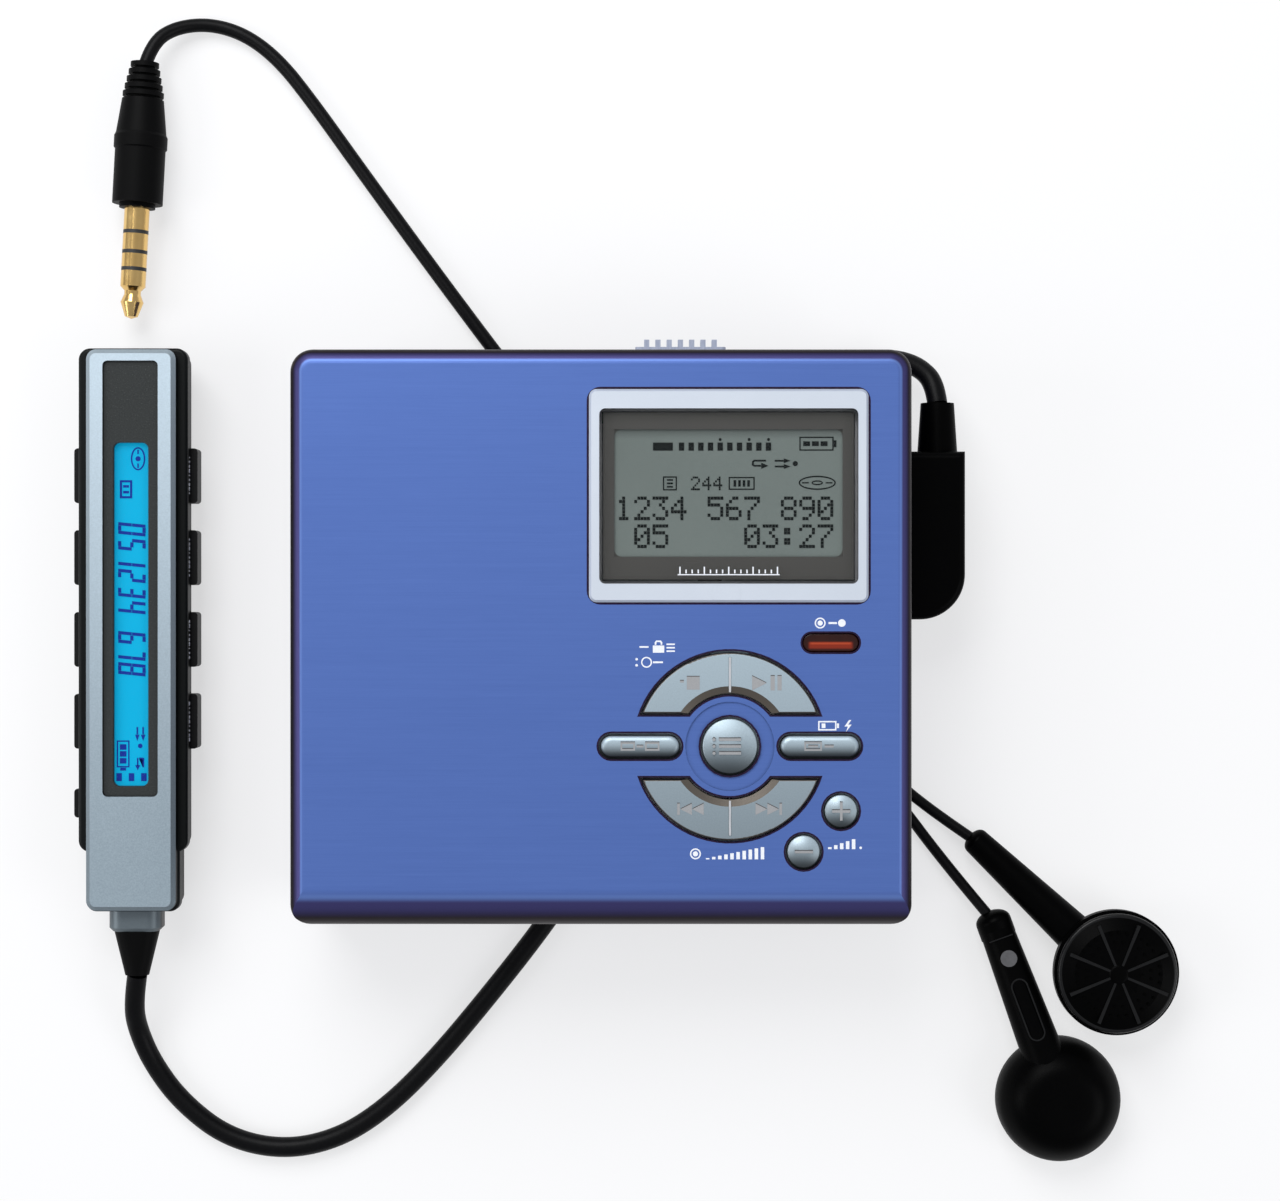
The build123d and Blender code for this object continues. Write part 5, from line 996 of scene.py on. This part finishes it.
# %% Spokes, holes, rim and hub of the right grille
SPOKES, FIRST_SPOKE = 8, radians(22.5)
grille = middle("right_earbud_grille")[:2]
grille_top = top_of("right_earbud_grille")
spokes, holes = [], []
for i in range(SPOKES):
    heading = FIRST_SPOKE + 2 * pi * i / SPOKES
    spokes.append([(r * cos(heading) - w * sin(heading), r * sin(heading) + w * cos(heading))
                   for r, w in ((1.3, -0.16), (7.3, -0.24), (7.3, 0.24), (1.3, 0.16))])
    for radius, places in ((3.2, 1), (4.5, 2), (5.8, 3)):
        for j in range(places):
            angle = heading + 2 * pi / SPOKES * (j + 1) / (places + 1)
            holes.append(disc(radius * cos(angle), radius * sin(angle), 0.2, points=10))
spoke_black = black_plastic("spoke_black", 0.004, 0.25, 0.5, 0.003, 0.22)
hole_black = black_plastic("hole_black", 0.0006, 0.6, 0.3, 0.002, 0.02)
for part, shapes, deep_by, lift, finish in (("spokes", spokes, 1.0, 0.06, spoke_black),
                                            ("holes", holes, 0.6, 0.012, hole_black)):
    stamp("right_grille_" + part, shapes, grille_top - deep_by, grille_top + lift, finish, "case",
          grille)
rim_profile = [(8.05, 6.7), (8.35, 7.0), (8.3, 7.5), (8.0, 7.75), (7.65, 7.7)]
lathe("right_grille_rim", rim_profile, grille, spoke_black)
lathe("right_grille_hub", [(0.0, 8.78), (0.8, 8.78), (1.35, 8.7), (1.5, 8.4)], grille, gloss_black)

# %% Domed back of the left earbud
left_bud = middle("left_earbud_grille")[:2]
back_profile = [(0.0, 8.9), (2.6, 8.95), (4.9, 8.75), (6.6, 7.75), (7.9, 6.1), (8.6, 4.6), (8.72, 3.3)]
lathe("left_earbud_back", back_profile, left_bud, gloss_black)

# %% [markdown]
# The stems end in a rounded bead round the cord.  The left stem carries a grey disc and a
# sunk oval, both bare.  Marks on it are turned to the stem: first up its slope, then round to
# its heading.

# %% Stem ends
def bead(name, at, radius, heading):
    """A ball flattened along the stem whose end it closes."""
    bpy.ops.mesh.primitive_uv_sphere_add(segments=48, ring_count=24, radius=radius * MM)
    bpy.ops.object.shade_smooth()
    bpy.context.object.name, bpy.context.object.scale = name, (0.62, 1, 1)
    settle(at, (0, 0, heading), gloss_black, "case")


right_tail, left_tail = [(x + layout_x, y + layout_y, z) for x, y, z in (right_route[-1], left_route[-1])]
right_heading = atan2(grille[1] - right_tail[1], grille[0] - right_tail[0])
left_heading = atan2(left_bud[1] - left_tail[1], left_bud[0] - left_tail[0])
bead("right_stem_bead", right_tail, 1.88, right_heading)
bead("left_stem_bead", left_tail, 2.48, left_heading)

# %% Marks of the left stem
STEM_RISE, STEM_TOP = 0.152, 4.95     # the left stem's rise per length, and its top at the cord end
mark_grey = black_plastic("mark_grey", 0.08, 0.5, 0.4, 0.003, 0.2)


def on_stem(name, outlines, along, thick, proud, finish):
    """Outlines on top of the left stem, at a distance from its cord end."""
    top = STEM_TOP + STEM_RISE * along
    place = (left_tail[0] + along * cos(left_heading), left_tail[1] + along * sin(left_heading))
    stamp(name, outlines, top + proud - thick, top + proud, finish, "case", place,
          (0, -atan(STEM_RISE), left_heading))


on_stem("left_stem_disc", [disc(0, 0, 1.15)], 5.2, 0.5, 0.03, mark_grey)
on_stem("left_stem_oval", band(0, 0, 8.6, 2.0, 1.0, 0.2), 12.6, 0.5, 0.03, spoke_black)
on_stem("left_stem_cap_line", [box(0, 0, 0.16, 3.4)], 2.3, 1.2, 0.16, spoke_black)

# %% [markdown]
# ## Table and light
#
# A plain pale table and soft light from all round keep the colours as written.  Three large
# lamps give the metal something to reflect: one above and behind, one on each side.

# %% Table
bpy.ops.mesh.primitive_plane_add(size=4, location=(0, 0, -0.0002))
table = bpy.context.object
table.name = "table"
GLOW_SHARE = 0.62                     # of pure white in what is seen; the rest is lit paint
table_paint = Finish("table_white", (0.80, 0.80, 0.81), Roughness=0.6)
lit = table_paint.node("Emission", None, {"Color": (1, 1, 1, 1), "Strength": 1.0})
seen = sum(table_paint.node("LightPath", out=f"Is {kind} Ray")
           for kind in ("Camera", "Glossy", "Transmission"))
paint = Wire(table_paint, table_paint.shader.outputs[0])
blend = table_paint.node("MixShader", None, {0: seen * GLOW_SHARE, 1: paint, 2: lit})
table_paint.feed(table_paint.tree.nodes["Material Output"].inputs["Surface"], blend)
table_paint.cover(table)

# %% Lamps and surroundings
def lamp(name, place, size, power, target=(0, 0, 0)):
    """A square lamp that points at a target; places in millimetres."""
    data = bpy.data.lights.new(name, "AREA")
    data.size, data.energy = size * MM, power
    light = add(name, data)
    light.location = mm(*place)
    light.rotation_euler = (mm(*target) - mm(*place)).to_track_quat("-Z", "Y").to_euler()
    print(name, power, "W")


lamp("key_lamp", (-150, 420, 520), 420, 3.6)
lamp("left_lamp", (-520, -60, 360), 300, 1.2)
lamp("right_lamp", (480, -200, 420), 300, 1.0, (20, 0, 0))
world = bpy.data.worlds.new("surroundings")
bpy.context.scene.world = world
world.use_nodes = True
sky = world.node_tree.nodes["Background"]
sky.inputs["Color"].default_value, sky.inputs["Strength"].default_value = (0.90, 0.93, 1.0, 1), 0.48
